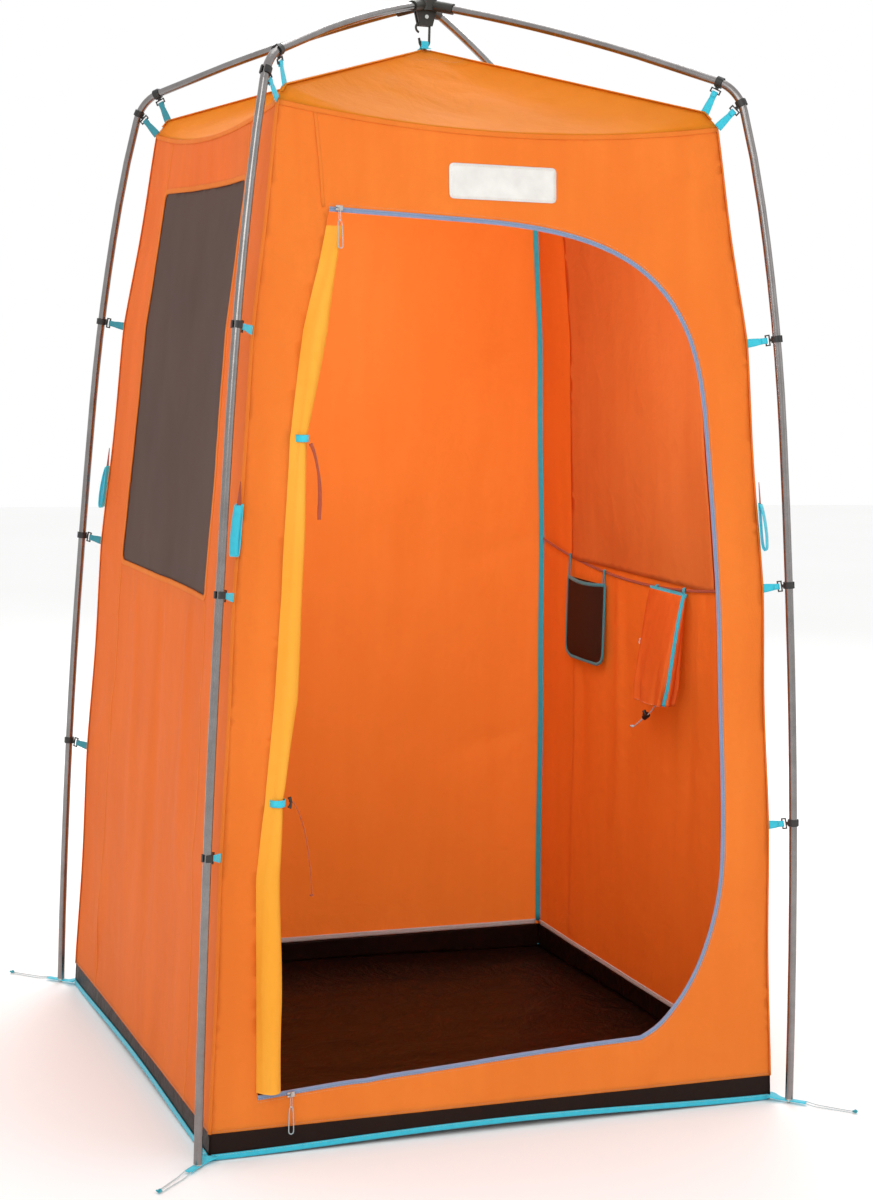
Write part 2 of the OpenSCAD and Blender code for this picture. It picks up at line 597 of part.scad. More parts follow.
// the bridge stands inside the pull's ring
bridge_w = 1.8;
head_along = unit(head_end - head_start);
sill_along = unit(sill_end - sill_start);
slider_in = 16;
function slider_at(start, dir, inset) = let(p = start + dir * slider_in + [-dir[1], dir[0]] * inset)
    [p[0], -wall_r(p[1]) - zip_t - slider_gap, p[1]];
top_place = slider_at(head_start, head_along, zip_w / 2);
sill_place = slider_at(sill_start + [46, 3], sill_along, -zip_w / 2);
module slider_frame(place, dir) {
    translate(place) rotate([-lean(place[2]), 0, 0]) rotate([0, -atan2(dir[1], dir[0]), 0]) children();
}
module slider() {
    difference() {
        translate([-slider_l / 2, -slider_t, -slider_w / 2]) cube([slider_l, slider_t, slider_w]);
        translate([-slider_l / 2 - bite, -slider_t - bite, -1.2]) cube([5, slider_t + 2 * bite, 2.4]);
    }
    for (s = [-1, 1]) translate([-bridge_w / 2, -slider_t - 3.4, s * 2.7 - 0.8]) cube([bridge_w, 3.4 + bite, 1.6]);
    translate([-bridge_w / 2, -slider_t - 4.4, -3.5]) cube([bridge_w, 1.4, 7]);
}
module slider_top() { color("#b9bec4") slider_frame(top_place, head_along) slider(); }
module slider_sill() { color("#b9bec4") slider_frame(sill_place, sill_along) slider(); }

// the wire ring that hangs from the slider's bridge, and the cord looped through its foot
ring_wire = 1.1;
ring_w = 3;
ring_l = 22;
ring_out = slider_t + 1.7;
module pull_ring() {
    translate([0, -ring_out, 0]) {
        translate([-1.7, 0, 0]) rotate([0, 90, 0]) cylinder(h = 3.4, r = ring_wire / 2, $fn = fine);
        for (s = [-1, 1]) {
            translate([s * 1.7, 0, 0]) sphere(r = ring_wire / 2, $fn = fine);
            translate([s * 1.7, 0, -ring_l]) cylinder(h = ring_l, r = ring_wire / 2, $fn = fine);
        }
        translate([-1.7 - ring_wire / 2, -ring_wire / 2, -ring_l - 2]) cube([3.4 + ring_wire, ring_wire, 3]);
    }
}
function lean_down(place, p) = let(a = lean(place[2]), d = -p[1] - ring_out)
    [place[0] + p[0], place[1] + d * cos(a) - (p[2] + ring_l + 2) * sin(a),
     place[2] - d * sin(a) - (p[2] + ring_l + 2) * cos(a)];
module pull_at(place) { translate(place) rotate([-lean(place[2]), 0, 0]) pull_ring(); }
module pull_top() { color("#b9bec4") pull_at(top_place); }
module pull_sill() { color("#b9bec4") pull_at(sill_place); }
module pull_cord_at(place) { tube_along([for (p = pull_route) lean_down(place, p)], [pull_d / 2]); }
module pull_cord_top() { color("#a9b7b8") pull_cord_at(top_place); }
module pull_cord_sill() { color("#a9b7b8") pull_cord_at(sill_place); }

patch_w = 217;
patch_h = 66;
patch_z = 1795;
patch_r = 10;
module front_patch() {
    color("#d9d4cc") intersection() {
        slope(band_h, wall_top, 0, 1);
        rotate([90, 0, 0]) linear_extrude(reach) translate([-6, patch_z]) hull() for (x = [-1, 1]) for (y = [-1, 1])
            translate([x * (patch_w / 2 - patch_r), y * (patch_h / 2 - patch_r)]) circle(patch_r, $fn = smooth);
    }
}

// ---- fittings on the right wall ----
line_z = window_z + 22;
line_sag = 48;
line_gap = 2.5;
line_half = 520;
line_x = wall_r(window_z - 30) - 3 * fabric_t - line_gap - webbing_t;
function line_height(y) = line_z - line_sag * (1 - pow(y / line_half, 2));
module gear_line() {
    steps = 12;
    ys = [for (k = [0:steps]) line_half * (2 * k / steps - 1)];
    color("#b84e1c") rotate([90, 0, 90]) translate([0, 0, line_x]) linear_extrude(webbing_t)
        polygon(concat([for (y = ys) [y, line_height(y)]], [for (y = backwards(ys)) [y, line_height(y) - 6]]));
}
pocket_y = 262;
pocket_t = 16;
pocket_wall = 2;
hang_w = 12;
hang_gap = 0.4;
pocket_top = line_height(pocket_y - pocket_w / 2) - 32;
pocket_x = line_x - hang_gap;
module mesh_pocket() {
    low = pocket_top - pocket_h;
    color("#3a1d14") union() {
        difference() {
            translate([pocket_x - pocket_t, pocket_y - pocket_w / 2, low]) cube([pocket_t, pocket_w, pocket_h]);
            translate([pocket_x - pocket_t + pocket_wall, pocket_y - pocket_w / 2 + pocket_wall, low + pocket_wall])
                cube([pocket_t - 2 * pocket_wall, pocket_w - 2 * pocket_wall, pocket_h]);
        }
        for (s = [-1, 1]) {
            y = pocket_y + s * (pocket_w - hang_w) / 2;
            translate([pocket_x - pocket_wall, y - hang_w / 2, pocket_top - bite])
                cube([pocket_wall, hang_w, line_height(y) + bite - pocket_top]);
        }
    }
}
// the bag hangs flat at its mouth and swells towards its foot
bag_y = -160;
bag_x = pocket_x;
bag_top = line_height(bag_y) - 4;
bag_mouth_t = 14;
bag_wall = 3;
module bag_side(inset) {
    polygon([[bag_x - inset, bag_top + (inset > 0 ? bite : 0)], [bag_x - inset, bag_top - bag_h + inset],
             [bag_x - bag_depth + inset, bag_top - bag_h + 16 + inset],
             [bag_x - bag_depth * 0.85 + inset, bag_top - bag_h * 0.5],
             [bag_x - bag_mouth_t + inset, bag_top + (inset > 0 ? bite : 0)]]);
}
module bag_pocket() {
    color("#e8702f") difference() {
        translate([0, bag_y + bag_w / 2, 0]) rotate([90, 0, 0]) linear_extrude(bag_w) bag_side(0);
        translate([0, bag_y + bag_w / 2 - bag_wall, 0]) rotate([90, 0, 0])
            linear_extrude(bag_w - 2 * bag_wall) bag_side(bag_wall);
    }
}
bag_cord_d = 2.4;
module bag_cord() { color("#c9cfd2") tube_along(bag_route, [bag_cord_d / 2]); }
// the cord lock: a barrel with a through hole for the cord and a sprung button in its top
lock_r = 6;
lock_l = 15;
lock_hole = bag_cord_d / 2 + 0.5;
lock_press = 3;
lock_at = bag_route[3];
lock_dir = unit(bag_route[5] - bag_route[3]);
module lock_frame() {
    translate(lock_at) rotate([0, acos(lock_dir[2]), atan2(lock_dir[1], lock_dir[0])]) children();
}
button_r = 4.2;
button_gap = 0.3;
button_out = lock_r + lock_press + 1;
module lock_body() {
    color("#161514") lock_frame() difference() {
        union() {
            cylinder(h = lock_l, r = lock_r, $fn = smooth);
            translate([0, 0, lock_l / 2]) rotate([0, -90, 0]) cylinder(h = lock_r + 0.5, r = lock_r, $fn = smooth);
        }
        translate([0, 0, -bite]) cylinder(h = lock_l + 2 * bite, r = lock_hole, $fn = smooth);
        translate([0, 0, lock_l / 2]) rotate([0, -90, 0])
            cylinder(h = 2 * lock_r, r = button_r + button_gap, $fn = smooth);
    }
}
module lock_button() {
    color("#2a2928") lock_frame() translate([-lock_hole - lock_press - 0.4, 0, lock_l / 2]) rotate([0, -90, 0])
        cylinder(h = button_out - lock_hole - 0.4, r = button_r, $fn = smooth);
}

// ---- corner loops and ground straps ----
guy_z = 1195;
guy_l = 95;
guy_gap = 8;
guy_out = 3;
// the loops hang along the corner's slope
guy_lean = 6.5;
module guy_loop(angle) {
    z = guy_z;
    r = wall_r(z) * sqrt(2) + guy_out;
    color("#19c6de") on_leg(angle) translate([r, z, -webbing_w / 2]) rotate([0, 0, guy_lean]) linear_extrude(webbing_w)
        difference() {
        polygon([[0, 0], [guy_gap / 2 + 2 * webbing_t, 0], [guy_gap + 2 * webbing_t, -guy_l + 6],
                 [guy_gap / 2 + webbing_t, -guy_l], [0.5, -guy_l + 6]]);
        polygon([[webbing_t, -8], [guy_gap / 2 + webbing_t / 2, -8], [guy_gap, -guy_l + 8],
                 [webbing_t + 1, -guy_l + 8]]);
    }
}
module guy_loop_front_left() { guy_loop(leg_turns[0]); }
module guy_loop_front_right() { guy_loop(leg_turns[1]); }
module guy_loop_back_left() { guy_loop(leg_turns[2]); }
module guy_loop_back_right() { guy_loop(leg_turns[3]); }

strap_z = 4.5;
strap_out = 35;
grommet_gap = 0.4;
module ground_straps() {
    from = (wall_r(strap_z) + webbing_t) * sqrt(2) - webbing_w / 2;
    color("#12b5d0") for (a = leg_turns) rotate([0, 0, a]) difference() {
        union() {
            translate([from, -webbing_w / 2, strap_z])
                cube([foot_radius + strap_out - from, webbing_w, 2.2]);
            translate([foot_radius, 0, strap_z - 0.8]) cylinder(h = 3.8, r = foot_pin_r + 5, $fn = smooth);
        }
        translate([foot_radius, 0, 0]) cylinder(h = 3 * tip_h, r = foot_pin_r + grommet_gap, $fn = smooth);
        rotate([0, 0, 45]) translate([-wall_r(strap_z) - webbing_t, -wall_r(strap_z) - webbing_t, 0])
            cube([2 * (wall_r(strap_z) + webbing_t), 2 * (wall_r(strap_z) + webbing_t), 3 * tip_h]);
    }
}
module stake_cord(angle) { color("#b7c4c6") rotate([0, 0, angle]) tube_along(stake_route, [stake_d / 2]); }
module stake_cord_front_left() { stake_cord(leg_turns[0]); }
module stake_cord_front_right() { stake_cord(leg_turns[1]); }
module stake_cord_back_left() { stake_cord(leg_turns[2]); }
module stake_cord_back_right() { stake_cord(leg_turns[3]); }

hub_body();
hub_pin();
hub_hook();
roof_arms();
shoulder_bends();
leg_tops();
leg_uppers();
leg_lowers();
leg_feet();
pole_ferrules();
shock_cords();
foot_tips();
clips_front_left();
clips_front_right();
clips_back_left();
clips_back_right();
tabs_front_left();
tabs_front_right();
tabs_back_left();
tabs_back_right();
front_wall();
left_wall();
right_wall();
back_wall();
roof_canopy();
floor_sheet();
floor_band();
base_binding();
left_mesh();
right_mesh();
left_privacy_roll();
right_privacy_panel();
door_roll();
door_zip_tape();
slider_top();
slider_sill();
pull_top();
pull_sill();
pull_cord_top();
pull_cord_sill();
door_ties();
tie_ribbon();
tie_cord();
front_patch();
gear_line();
mesh_pocket();
bag_pocket();
bag_cord();
lock_body();
lock_button();
guy_loop_front_left();
guy_loop_front_right();
guy_loop_back_left();
guy_loop_back_right();
ground_straps();
stake_cord_front_left();
stake_cord_front_right();
stake_cord_back_left();
stake_cord_back_right();
peak_loop();
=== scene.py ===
import math
import bpy
import numpy as np
from mathutils import Matrix, Vector, noise
from mathutils.geometry import delaunay_2d_cdt


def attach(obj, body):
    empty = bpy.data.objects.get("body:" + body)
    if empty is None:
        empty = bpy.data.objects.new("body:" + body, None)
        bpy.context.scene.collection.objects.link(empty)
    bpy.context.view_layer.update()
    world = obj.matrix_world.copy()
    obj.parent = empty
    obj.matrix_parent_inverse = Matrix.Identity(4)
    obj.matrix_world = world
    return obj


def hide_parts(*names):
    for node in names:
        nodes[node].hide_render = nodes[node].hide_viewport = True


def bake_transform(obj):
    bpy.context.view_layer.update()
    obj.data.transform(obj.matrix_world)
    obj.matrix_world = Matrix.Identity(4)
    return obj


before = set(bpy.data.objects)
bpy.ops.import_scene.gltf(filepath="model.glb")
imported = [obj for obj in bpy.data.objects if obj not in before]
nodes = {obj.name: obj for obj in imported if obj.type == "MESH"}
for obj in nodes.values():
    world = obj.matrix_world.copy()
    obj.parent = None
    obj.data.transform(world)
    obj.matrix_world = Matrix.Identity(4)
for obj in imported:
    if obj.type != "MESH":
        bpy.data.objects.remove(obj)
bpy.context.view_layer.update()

mm = 0.001
rng = np.random.default_rng(7)

# ---- the camera ----
shot = {
    "place": (-1.6463, -4.4085, 1.5130),
    "yaw": 21.156,   # degrees towards +X
    "pitch": -6.779,
    "roll": 1.540,
    "lens": 44.93,   # mm on a 24 mm tall sensor
}


def makeCamera():
    yaw, pitch, roll = (math.radians(shot[k]) for k in ("yaw", "pitch", "roll"))
    ahead = Vector((math.sin(yaw) * math.cos(pitch), math.cos(yaw) * math.cos(pitch), math.sin(pitch)))
    right = Vector((math.cos(yaw), -math.sin(yaw), 0))
    up = right.cross(ahead)
    turnedRight = right * math.cos(roll) + up * math.sin(roll)
    turnedUp = up * math.cos(roll) - right * math.sin(roll)
    data = bpy.data.cameras.new("camera")
    data.sensor_fit = "VERTICAL"
    data.sensor_height = 24
    data.lens = shot["lens"]
    data.clip_start, data.clip_end = 0.05, 60
    camera = bpy.data.objects.new("camera", data)
    turn = Matrix((turnedRight, turnedUp, -ahead)).transposed().to_4x4()
    camera.matrix_world = Matrix.Translation(shot["place"]) @ turn
    bpy.context.scene.collection.objects.link(camera)
    bpy.context.scene.camera = camera


makeCamera()
print("camera placed")


# ---- colours and materials ----
def hexColour(code):
    parts = [int(code[i:i + 2], 16) / 255 for i in (0, 2, 4)]
    return tuple(c / 12.92 if c <= 0.04045 else ((c + 0.055) / 1.055) ** 2.4 for c in parts) + (1,)


def addNode(tree, kind, inputs=None, **settings):
    node = tree.nodes.new(kind)
    for key, value in settings.items():
        setattr(node, key, value)
    for key, value in (inputs or {}).items():
        socket = node.inputs[key]
        if isinstance(value, bpy.types.NodeSocket):
            tree.links.new(value, socket)
        else:
            socket.default_value = value
    return node


def newMaterial(name):
    material = bpy.data.materials.new(name)
    material.use_nodes = True
    material.node_tree.nodes.clear()
    return material.node_tree


def objectPlace(tree):
    return addNode(tree, "ShaderNodeTexCoord").outputs["Object"]


def clothPlace(tree):
    return addNode(tree, "ShaderNodeUVMap", uv_map="cloth").outputs["UV"]


def noiseNode(tree, place, scale, detail, **more):
    inputs = {"Vector": place, "Scale": scale, "Detail": detail}
    inputs.update({key.capitalize(): value for key, value in more.items()})
    return addNode(tree, "ShaderNodeTexNoise", inputs).outputs["Fac"]


def bumpNode(tree, height, strength, distance, under=None):
    inputs = {"Height": height, "Strength": strength, "Distance": distance}
    if under is not None:
        inputs["Normal"] = under
    return addNode(tree, "ShaderNodeBump", inputs).outputs["Normal"]


def surfaceNode(tree, shade, roughness, normal, **more):
    names = {"metallic": "Metallic", "sheen": "Sheen Weight", "specular": "Specular IOR Level"}
    inputs = {"Base Color": shade, "Roughness": roughness, "Normal": normal}
    inputs.update({names[key]: value for key, value in more.items()})
    return addNode(tree, "ShaderNodeBsdfPrincipled", inputs).outputs["BSDF"]


def closeMaterial(tree, shader):
    addNode(tree, "ShaderNodeOutputMaterial", {"Surface": shader})
    return next(material for material in bpy.data.materials if material.node_tree == tree)


def ramp(tree, value, low, high, start=0.3, end=0.7):
    node = addNode(tree, "ShaderNodeMapRange", {"Value": value, "From Min": start, "From Max": end,
                                                "To Min": low, "To Max": high})
    return node.outputs["Result"]


def mixColour(tree, factor, a, b, mode="MIX"):
    node = addNode(tree, "ShaderNodeMix", data_type="RGBA", blend_type=mode)
    for index, value in ((0, factor), (6, a), (7, b)):
        if isinstance(value, bpy.types.NodeSocket):
            tree.links.new(value, node.inputs[index])
        else:
            node.inputs[index].default_value = value
    return node.outputs[2]


# coated polyester: a thin tight weave with a matt coating, which lets daylight glow through,
# with faint upright streaks from folding and small crinkles
def coatedCloth(name, face, deep, glow, through, roughness=0.6, crinkle=0.35):
    tree = newMaterial(name)
    place, light, dark = objectPlace(tree), hexColour(face), hexColour(deep)
    tall = addNode(tree, "ShaderNodeMapping", {"Vector": place, "Scale": (9, 9, 0.9)}).outputs["Vector"]
    streaks = noiseNode(tree, tall, 2.2, 4, roughness=0.55)
    broad = noiseNode(tree, place, 2.6, 3)
    small = noiseNode(tree, place, 38, 5, roughness=0.6, distortion=0.6)
    creases = noiseNode(tree, place, 9, 4, distortion=1.6)
    weave = noiseNode(tree, place, 900, 1)
    shade = mixColour(tree, ramp(tree, streaks, 0, 0.5), light, dark)
    shade = mixColour(tree, ramp(tree, broad, 0, 0.45, 0.42, 0.66), shade, dark)
    shade = mixColour(tree, ramp(tree, small, 0, 0.25, 0.5, 0.75), shade, dark)
    height = addNode(tree, "ShaderNodeMath", {0: small, 1: 0.4}, operation="MULTIPLY").outputs[0]
    height = addNode(tree, "ShaderNodeMath", {0: height, 1: creases}, operation="ADD").outputs[0]
    woven = bumpNode(tree, weave, 0.12, 0.4 * mm, bumpNode(tree, height, crinkle, 10 * mm))
    cloth = surfaceNode(tree, shade, roughness, woven, specular=0.12)
    shine = addNode(tree, "ShaderNodeBsdfTranslucent", {"Color": hexColour(glow), "Normal": woven})
    mixed = addNode(tree, "ShaderNodeMixShader", {0: through, 1: cloth, 2: shine.outputs["BSDF"]})
    return closeMaterial(tree, mixed.outputs["Shader"])


# polypropylene webbing: a ribbed narrow weave, 1.6 mm from rib to rib, with firm edges
def ribbedWebbing(name, face, deep, ribs=1.6, roughness=0.55):
    tree = newMaterial(name)
    along, light, dark = clothPlace(tree), hexColour(face), hexColour(deep)
    rib = addNode(tree, "ShaderNodeTexWave", {"Vector": along, "Scale": math.pi / (10 * ribs * mm), "Distortion": 0.4,
                                              "Detail": 1}, bands_direction="Y").outputs["Fac"]
    thread = addNode(tree, "ShaderNodeTexWave", {"Vector": along, "Scale": math.pi / (10 * ribs * mm * 0.7)},
                     bands_direction="X").outputs["Fac"]
    wear = noiseNode(tree, along, 90, 4)
    shade = mixColour(tree, ramp(tree, rib, 0, 0.5, 0.2, 1), light, dark)
    shade = mixColour(tree, ramp(tree, wear, 0, 0.35), shade, dark)
    height = addNode(tree, "ShaderNodeMath", {0: rib, 1: thread}, operation="ADD").outputs[0]
    return closeMaterial(tree, surfaceNode(tree, shade, roughness, bumpNode(tree, height, 0.5, 0.4 * mm), sheen=0.2))


# knitted polyester mesh: fine dark cells 2 mm across, which show a little of what is behind
def knitMesh(name, face, deep, cover, cell=2.0):
    tree = newMaterial(name)
    along, light, dark = clothPlace(tree), hexColour(face), hexColour(deep)
    cells = addNode(tree, "ShaderNodeTexVoronoi", {"Vector": along, "Scale": 1 / (cell * mm),
                                                   "Randomness": 0.25}).outputs["Distance"]
    broad = noiseNode(tree, along, 3, 3)
    shade = mixColour(tree, ramp(tree, cells, 0.7, 0, 0.1, 0.6), light, dark)
    shade = mixColour(tree, ramp(tree, broad, 0, 0.4), shade, dark)
    knit = surfaceNode(tree, shade, 0.7, bumpNode(tree, cells, 0.4, 0.5 * mm), specular=0.15)
    clear = addNode(tree, "ShaderNodeBsdfTransparent").outputs["BSDF"]
    mixed = addNode(tree, "ShaderNodeMixShader", {0: cover, 1: clear, 2: knit})
    return closeMaterial(tree, mixed.outputs["Shader"])


# injection-moulded nylon: a faint spark-eroded grain, slightly shiny on the edges
def mouldedPlastic(name, face, roughness=0.42, grain=0.15):
    tree = newMaterial(name)
    place = objectPlace(tree)
    fine = noiseNode(tree, place, 1400, 2)
    worn = noiseNode(tree, place, 60, 5, roughness=0.7)
    gloss = ramp(tree, worn, roughness - 0.08, roughness + 0.12)
    shade = mixColour(tree, ramp(tree, worn, 0, 0.25, 0.5, 0.8), hexColour(face), hexColour("5a5650"))
    return closeMaterial(tree, surfaceNode(tree, shade, gloss, bumpNode(tree, fine, grain, 0.3 * mm)))


# drawn and lacquered metal tube: fine lengthwise lines and a soft bright highlight
def drawnMetal(name, face, deep, roughness=0.3, lines=(220, 220, 6)):
    tree = newMaterial(name)
    place = objectPlace(tree)
    drawn = addNode(tree, "ShaderNodeMapping", {"Vector": place, "Scale": lines}).outputs["Vector"]
    brush = noiseNode(tree, drawn, 6, 4)
    scuff = noiseNode(tree, place, 24, 6, roughness=0.7)
    shade = mixColour(tree, ramp(tree, scuff, 0, 0.6), hexColour(face), hexColour(deep))
    gloss = ramp(tree, brush, roughness - 0.06, roughness + 0.12)
    return closeMaterial(tree, surfaceNode(tree, shade, gloss, bumpNode(tree, brush, 0.08, 0.3 * mm), metallic=1))


# braided or twisted cord: diagonal strands about as wide as the cord
def twistedCord(name, face, deep, thick):
    tree = newMaterial(name)
    turned = addNode(tree, "ShaderNodeMapping", {"Vector": objectPlace(tree),
                                                 "Rotation": (0.6, 0.5, 0.4)}).outputs["Vector"]
    strand = addNode(tree, "ShaderNodeTexWave", {"Vector": turned, "Scale": math.pi / (10 * thick), "Distortion": 0.6,
                                                 "Detail": 1}, bands_direction="DIAGONAL").outputs["Fac"]
    shade = mixColour(tree, ramp(tree, strand, 0, 0.8, 0, 1), hexColour(face), hexColour(deep))
    return closeMaterial(tree, surfaceNode(tree, shade, 0.65, bumpNode(tree, strand, 0.6, 0.5 * mm), sheen=0.2))


wallCloth = coatedCloth("coatedPolyesterFront", "f7913a", "ea802e", "ffb050", 0.34)
# the same cloth as the front in a darker tone: painted shade for the side walls turned away from the light
shadedSideCloth = coatedCloth("coatedPolyesterSide", "ee8238", "dd7029", "ffb050", 0.34)
# the same cloth in a lighter, yellower tone: painted light for the back wall glowing as seen from inside
litBackCloth = coatedCloth("coatedPolyesterBack", "f59a48", "ea8a3a", "ffb868", 0.4)
roofCloth = coatedCloth("coatedPolyesterRoof", "e9982a", "dc8818", "ffc060", 0.4)
# the same cloth in a lighter tone: painted light on the privacy panel and roll inside the cabin
litPrivacyCloth = coatedCloth("coatedPolyesterPrivacy", "f08a44", "de7434", "ffa858", 0.3)
facingCloth = coatedCloth("coatedPolyesterFacing", "fdb642", "f3a02c", "ffc050", 0.15, 0.55, 0.25)
bagCloth = coatedCloth("coatedPolyesterBag", "ee7430", "cf5416", "ff8030", 0.12)
floorCloth = coatedCloth("coatedOxfordFloor", "22120b", "150a06", "1a0d08", 0.02, 0.4, 0.5)
cyanWebbing = ribbedWebbing("wovenCyanWebbing", "2fd0e6", "12a9c4")
tealWebbing = ribbedWebbing("wovenTealWebbing", "2593a2", "17707f")
cyanBinding = ribbedWebbing("wovenCyanBinding", "22c4dc", "0e9cb6", 1.2)
rustTape = ribbedWebbing("wovenRustTape", "b8481a", "8a300c", 1.2)
greyTape = ribbedWebbing("wovenGreyTape", "e4e4e0", "c2c2be", 1.2)
zipCloth = ribbedWebbing("wovenZipTape", "8296b6", "66799c", 1.0)
windowKnit = knitMesh("knittedWindowMesh", "5c453d", "43332d", 0.94)
pocketKnit = knitMesh("knittedPocketMesh", "4a2a1e", "2a140d", 0.8, 3)
blackNylon = mouldedPlastic("mouldedBlackNylon", "1c1b1a", 0.4)
hubNylon = mouldedPlastic("mouldedHubNylon", "26251f", 0.45, 0.3)
buttonNylon = mouldedPlastic("mouldedButtonNylon", "2c2b2a", 0.35)
whiteNylon = mouldedPlastic("mouldedWhiteNylon", "e6e4de", 0.4)
coilNylon = mouldedPlastic("extrudedCoilNylon", "9aaccb", 0.35)
poleMetal = drawnMetal("lacqueredPoleSteel", "8f8c8b", "6d6967", 0.2)
hookMetal = drawnMetal("coatedHookWire", "4a4844", "2e2c2a", 0.35)
bareMetal = drawnMetal("platedSteel", "c9c8c4", "a4a29d", 0.22)
paleCord = twistedCord("twistedPaleCord", "c9d3d4", "93a3a6", 1.2 * mm)
zipCord = twistedCord("twistedZipCord", "b3c2c4", "7d8f94", 1.2 * mm)
rustCord = twistedCord("twistedRustCord", "b9521f", "84340f", 1.2 * mm)
elasticCord = twistedCord("braidedElasticCord", "d8d4c8", "8c8880", 1.5 * mm)
tealKnot = twistedCord("tiedTealCord", "2aa9b8", "167c8b", 1.4 * mm)
threadWhite = twistedCord("sewingThread", "f3d9b8", "c9a070", 0.6 * mm)
print("materials made")


# ---- meshes ----
def meshObject(name, verts, faces, uvs, materials, faceMaterials=None, smooth=True):
    mesh = bpy.data.meshes.new(name)
    mesh.from_pydata([tuple(map(float, v)) for v in verts], [], [tuple(map(int, f)) for f in faces])
    layer = mesh.uv_layers.new(name="cloth")
    loopVerts = np.empty(len(mesh.loops), dtype=np.int32)
    mesh.loops.foreach_get("vertex_index", loopVerts)
    layer.data.foreach_set("uv", np.asarray(uvs, dtype=np.float32)[loopVerts].ravel())
    for material in materials:
        mesh.materials.append(material)
    if faceMaterials is not None:
        mesh.polygons.foreach_set("material_index", np.asarray(faceMaterials, dtype=np.int32))
    mesh.polygons.foreach_set("use_smooth", np.full(len(mesh.polygons), smooth))
    mesh.update()
    return linkObject(name, mesh)


def joinParts(name, parts, materials, smooth=True):
    verts, faces, uvs, kinds = [], [], [], []
    for part in parts:
        base = len(verts)
        verts.extend(part[0])
        faces.extend([[base + i for i in face] for face in part[1]])
        uvs.extend(part[2])
        kinds.extend([part[3] if len(part) > 3 else 0] * len(part[1]))
    return meshObject(name, verts, faces, uvs, materials, kinds, smooth)


def smoothLine(points, step):
    # a Catmull-Rom line through the points, with a point about every step
    pts = [np.array(p, dtype=float) for p in points]
    pts = [2 * pts[0] - pts[1]] + pts + [2 * pts[-1] - pts[-2]]
    line = []
    for a, b, c, d in zip(pts, pts[1:], pts[2:], pts[3:]):
        count = max(1, int(round(np.linalg.norm(c - b) / step)))
        for t in np.arange(count) / count:
            line.append(0.5 * (2 * b + (c - a) * t + (2 * a - 5 * b + 4 * c - d) * t * t
                               + (3 * b - a - 3 * c + d) * t ** 3))
    return line + [pts[-2]]


def linkObject(name, data):
    piece = bpy.data.objects.new(name, data)
    bpy.context.scene.collection.objects.link(piece)
    return piece


# a profile swept along points; each point has an up vector, and the profile gives (across, up) in metres
def sweep(points, ups, profile, scales=None, loop=False, kind=0):
    pts = np.array(points, dtype=float)
    count, size = len(pts), len(profile)
    if loop:
        ahead = np.roll(pts, -1, 0) - np.roll(pts, 1, 0)
    else:
        ahead = np.gradient(pts, axis=0)
    ahead /= np.linalg.norm(ahead, axis=1)[:, None]
    ups = np.broadcast_to(np.array(ups, dtype=float), pts.shape)
    across = np.cross(ahead, ups)
    across /= np.linalg.norm(across, axis=1)[:, None]
    up = np.cross(across, ahead)
    scales = np.ones((count, 2)) if scales is None else np.array(scales, dtype=float)
    verts, uvs, run = [], [], 0
    for i in range(count):
        run += np.linalg.norm(pts[i] - pts[i - 1]) if i else 0
        for a, b in profile:
            verts.append(pts[i] + across[i] * a * scales[i][0] + up[i] * b * scales[i][1])
            uvs.append((a * scales[i][0], run))
    faces = []
    for i in range(count if loop else count - 1):
        j = (i + 1) % count
        for k in range(size):
            n = (k + 1) % size
            faces.append([i * size + k, i * size + n, j * size + n, j * size + k])
    if not loop:
        faces.append([k for k in range(size)][::-1])
        faces.append([(count - 1) * size + k for k in range(size)])
    return verts, faces, uvs, kind


def flatProfile(width, thick, columns=4, crown=0.0):
    # counter-clockwise seen against the sweep's direction, so that the faces point outwards
    top = [(-width / 2 + width * k / columns, thick / 2 + crown * (1 - (2 * k / columns - 1) ** 2))
           for k in range(columns + 1)]
    foot = [(x, y - thick) for x, y in top]
    return foot + top[::-1]


def roundProfile(radius, sides=10):
    return [(radius * math.cos(2 * math.pi * k / sides), radius * math.sin(2 * math.pi * k / sides))
            for k in range(sides)]


def circle(count):
    return np.linspace(0, 2 * math.pi, count + 1)[:-1]


# up vectors for a ribbon that bends, with its width kept along across
def upsAround(line, across):
    steps = [after - before for before, after in zip([line[0]] + line[:-1], line[1:] + [line[-1]])]
    return [np.cross(across, step / np.linalg.norm(step)) for step in steps]


# four-cornered faces between rows of points; a ring also closes each row on itself
def gridFaces(rows, columns, ring=False, flip=False):
    faces = []
    for r in range(rows - 1):
        for k in range(columns if ring else columns - 1):
            n = (k + 1) % columns
            quad = [r * columns + k, r * columns + n, (r + 1) * columns + n, (r + 1) * columns + k]
            faces.append([quad[0], quad[3], quad[2], quad[1]] if flip else quad)
    return faces


def thicken(piece, thickness):
    solid = piece.modifiers.new("cloth", "SOLIDIFY")
    solid.thickness, solid.offset = thickness, 0


def curveData(name, rows):
    data = bpy.data.curves.new(name, "CURVE")
    data.dimensions = "3D"
    for row in rows:
        spline = data.splines.new("POLY")
        spline.points.add(len(row) - 1)
        for point, place in zip(spline.points, row):
            point.co = (*place, 1)
    return data


def settle(piece, body="tent", replaces=()):
    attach(piece, body)
    if replaces:
        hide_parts(*replaces)
    return piece


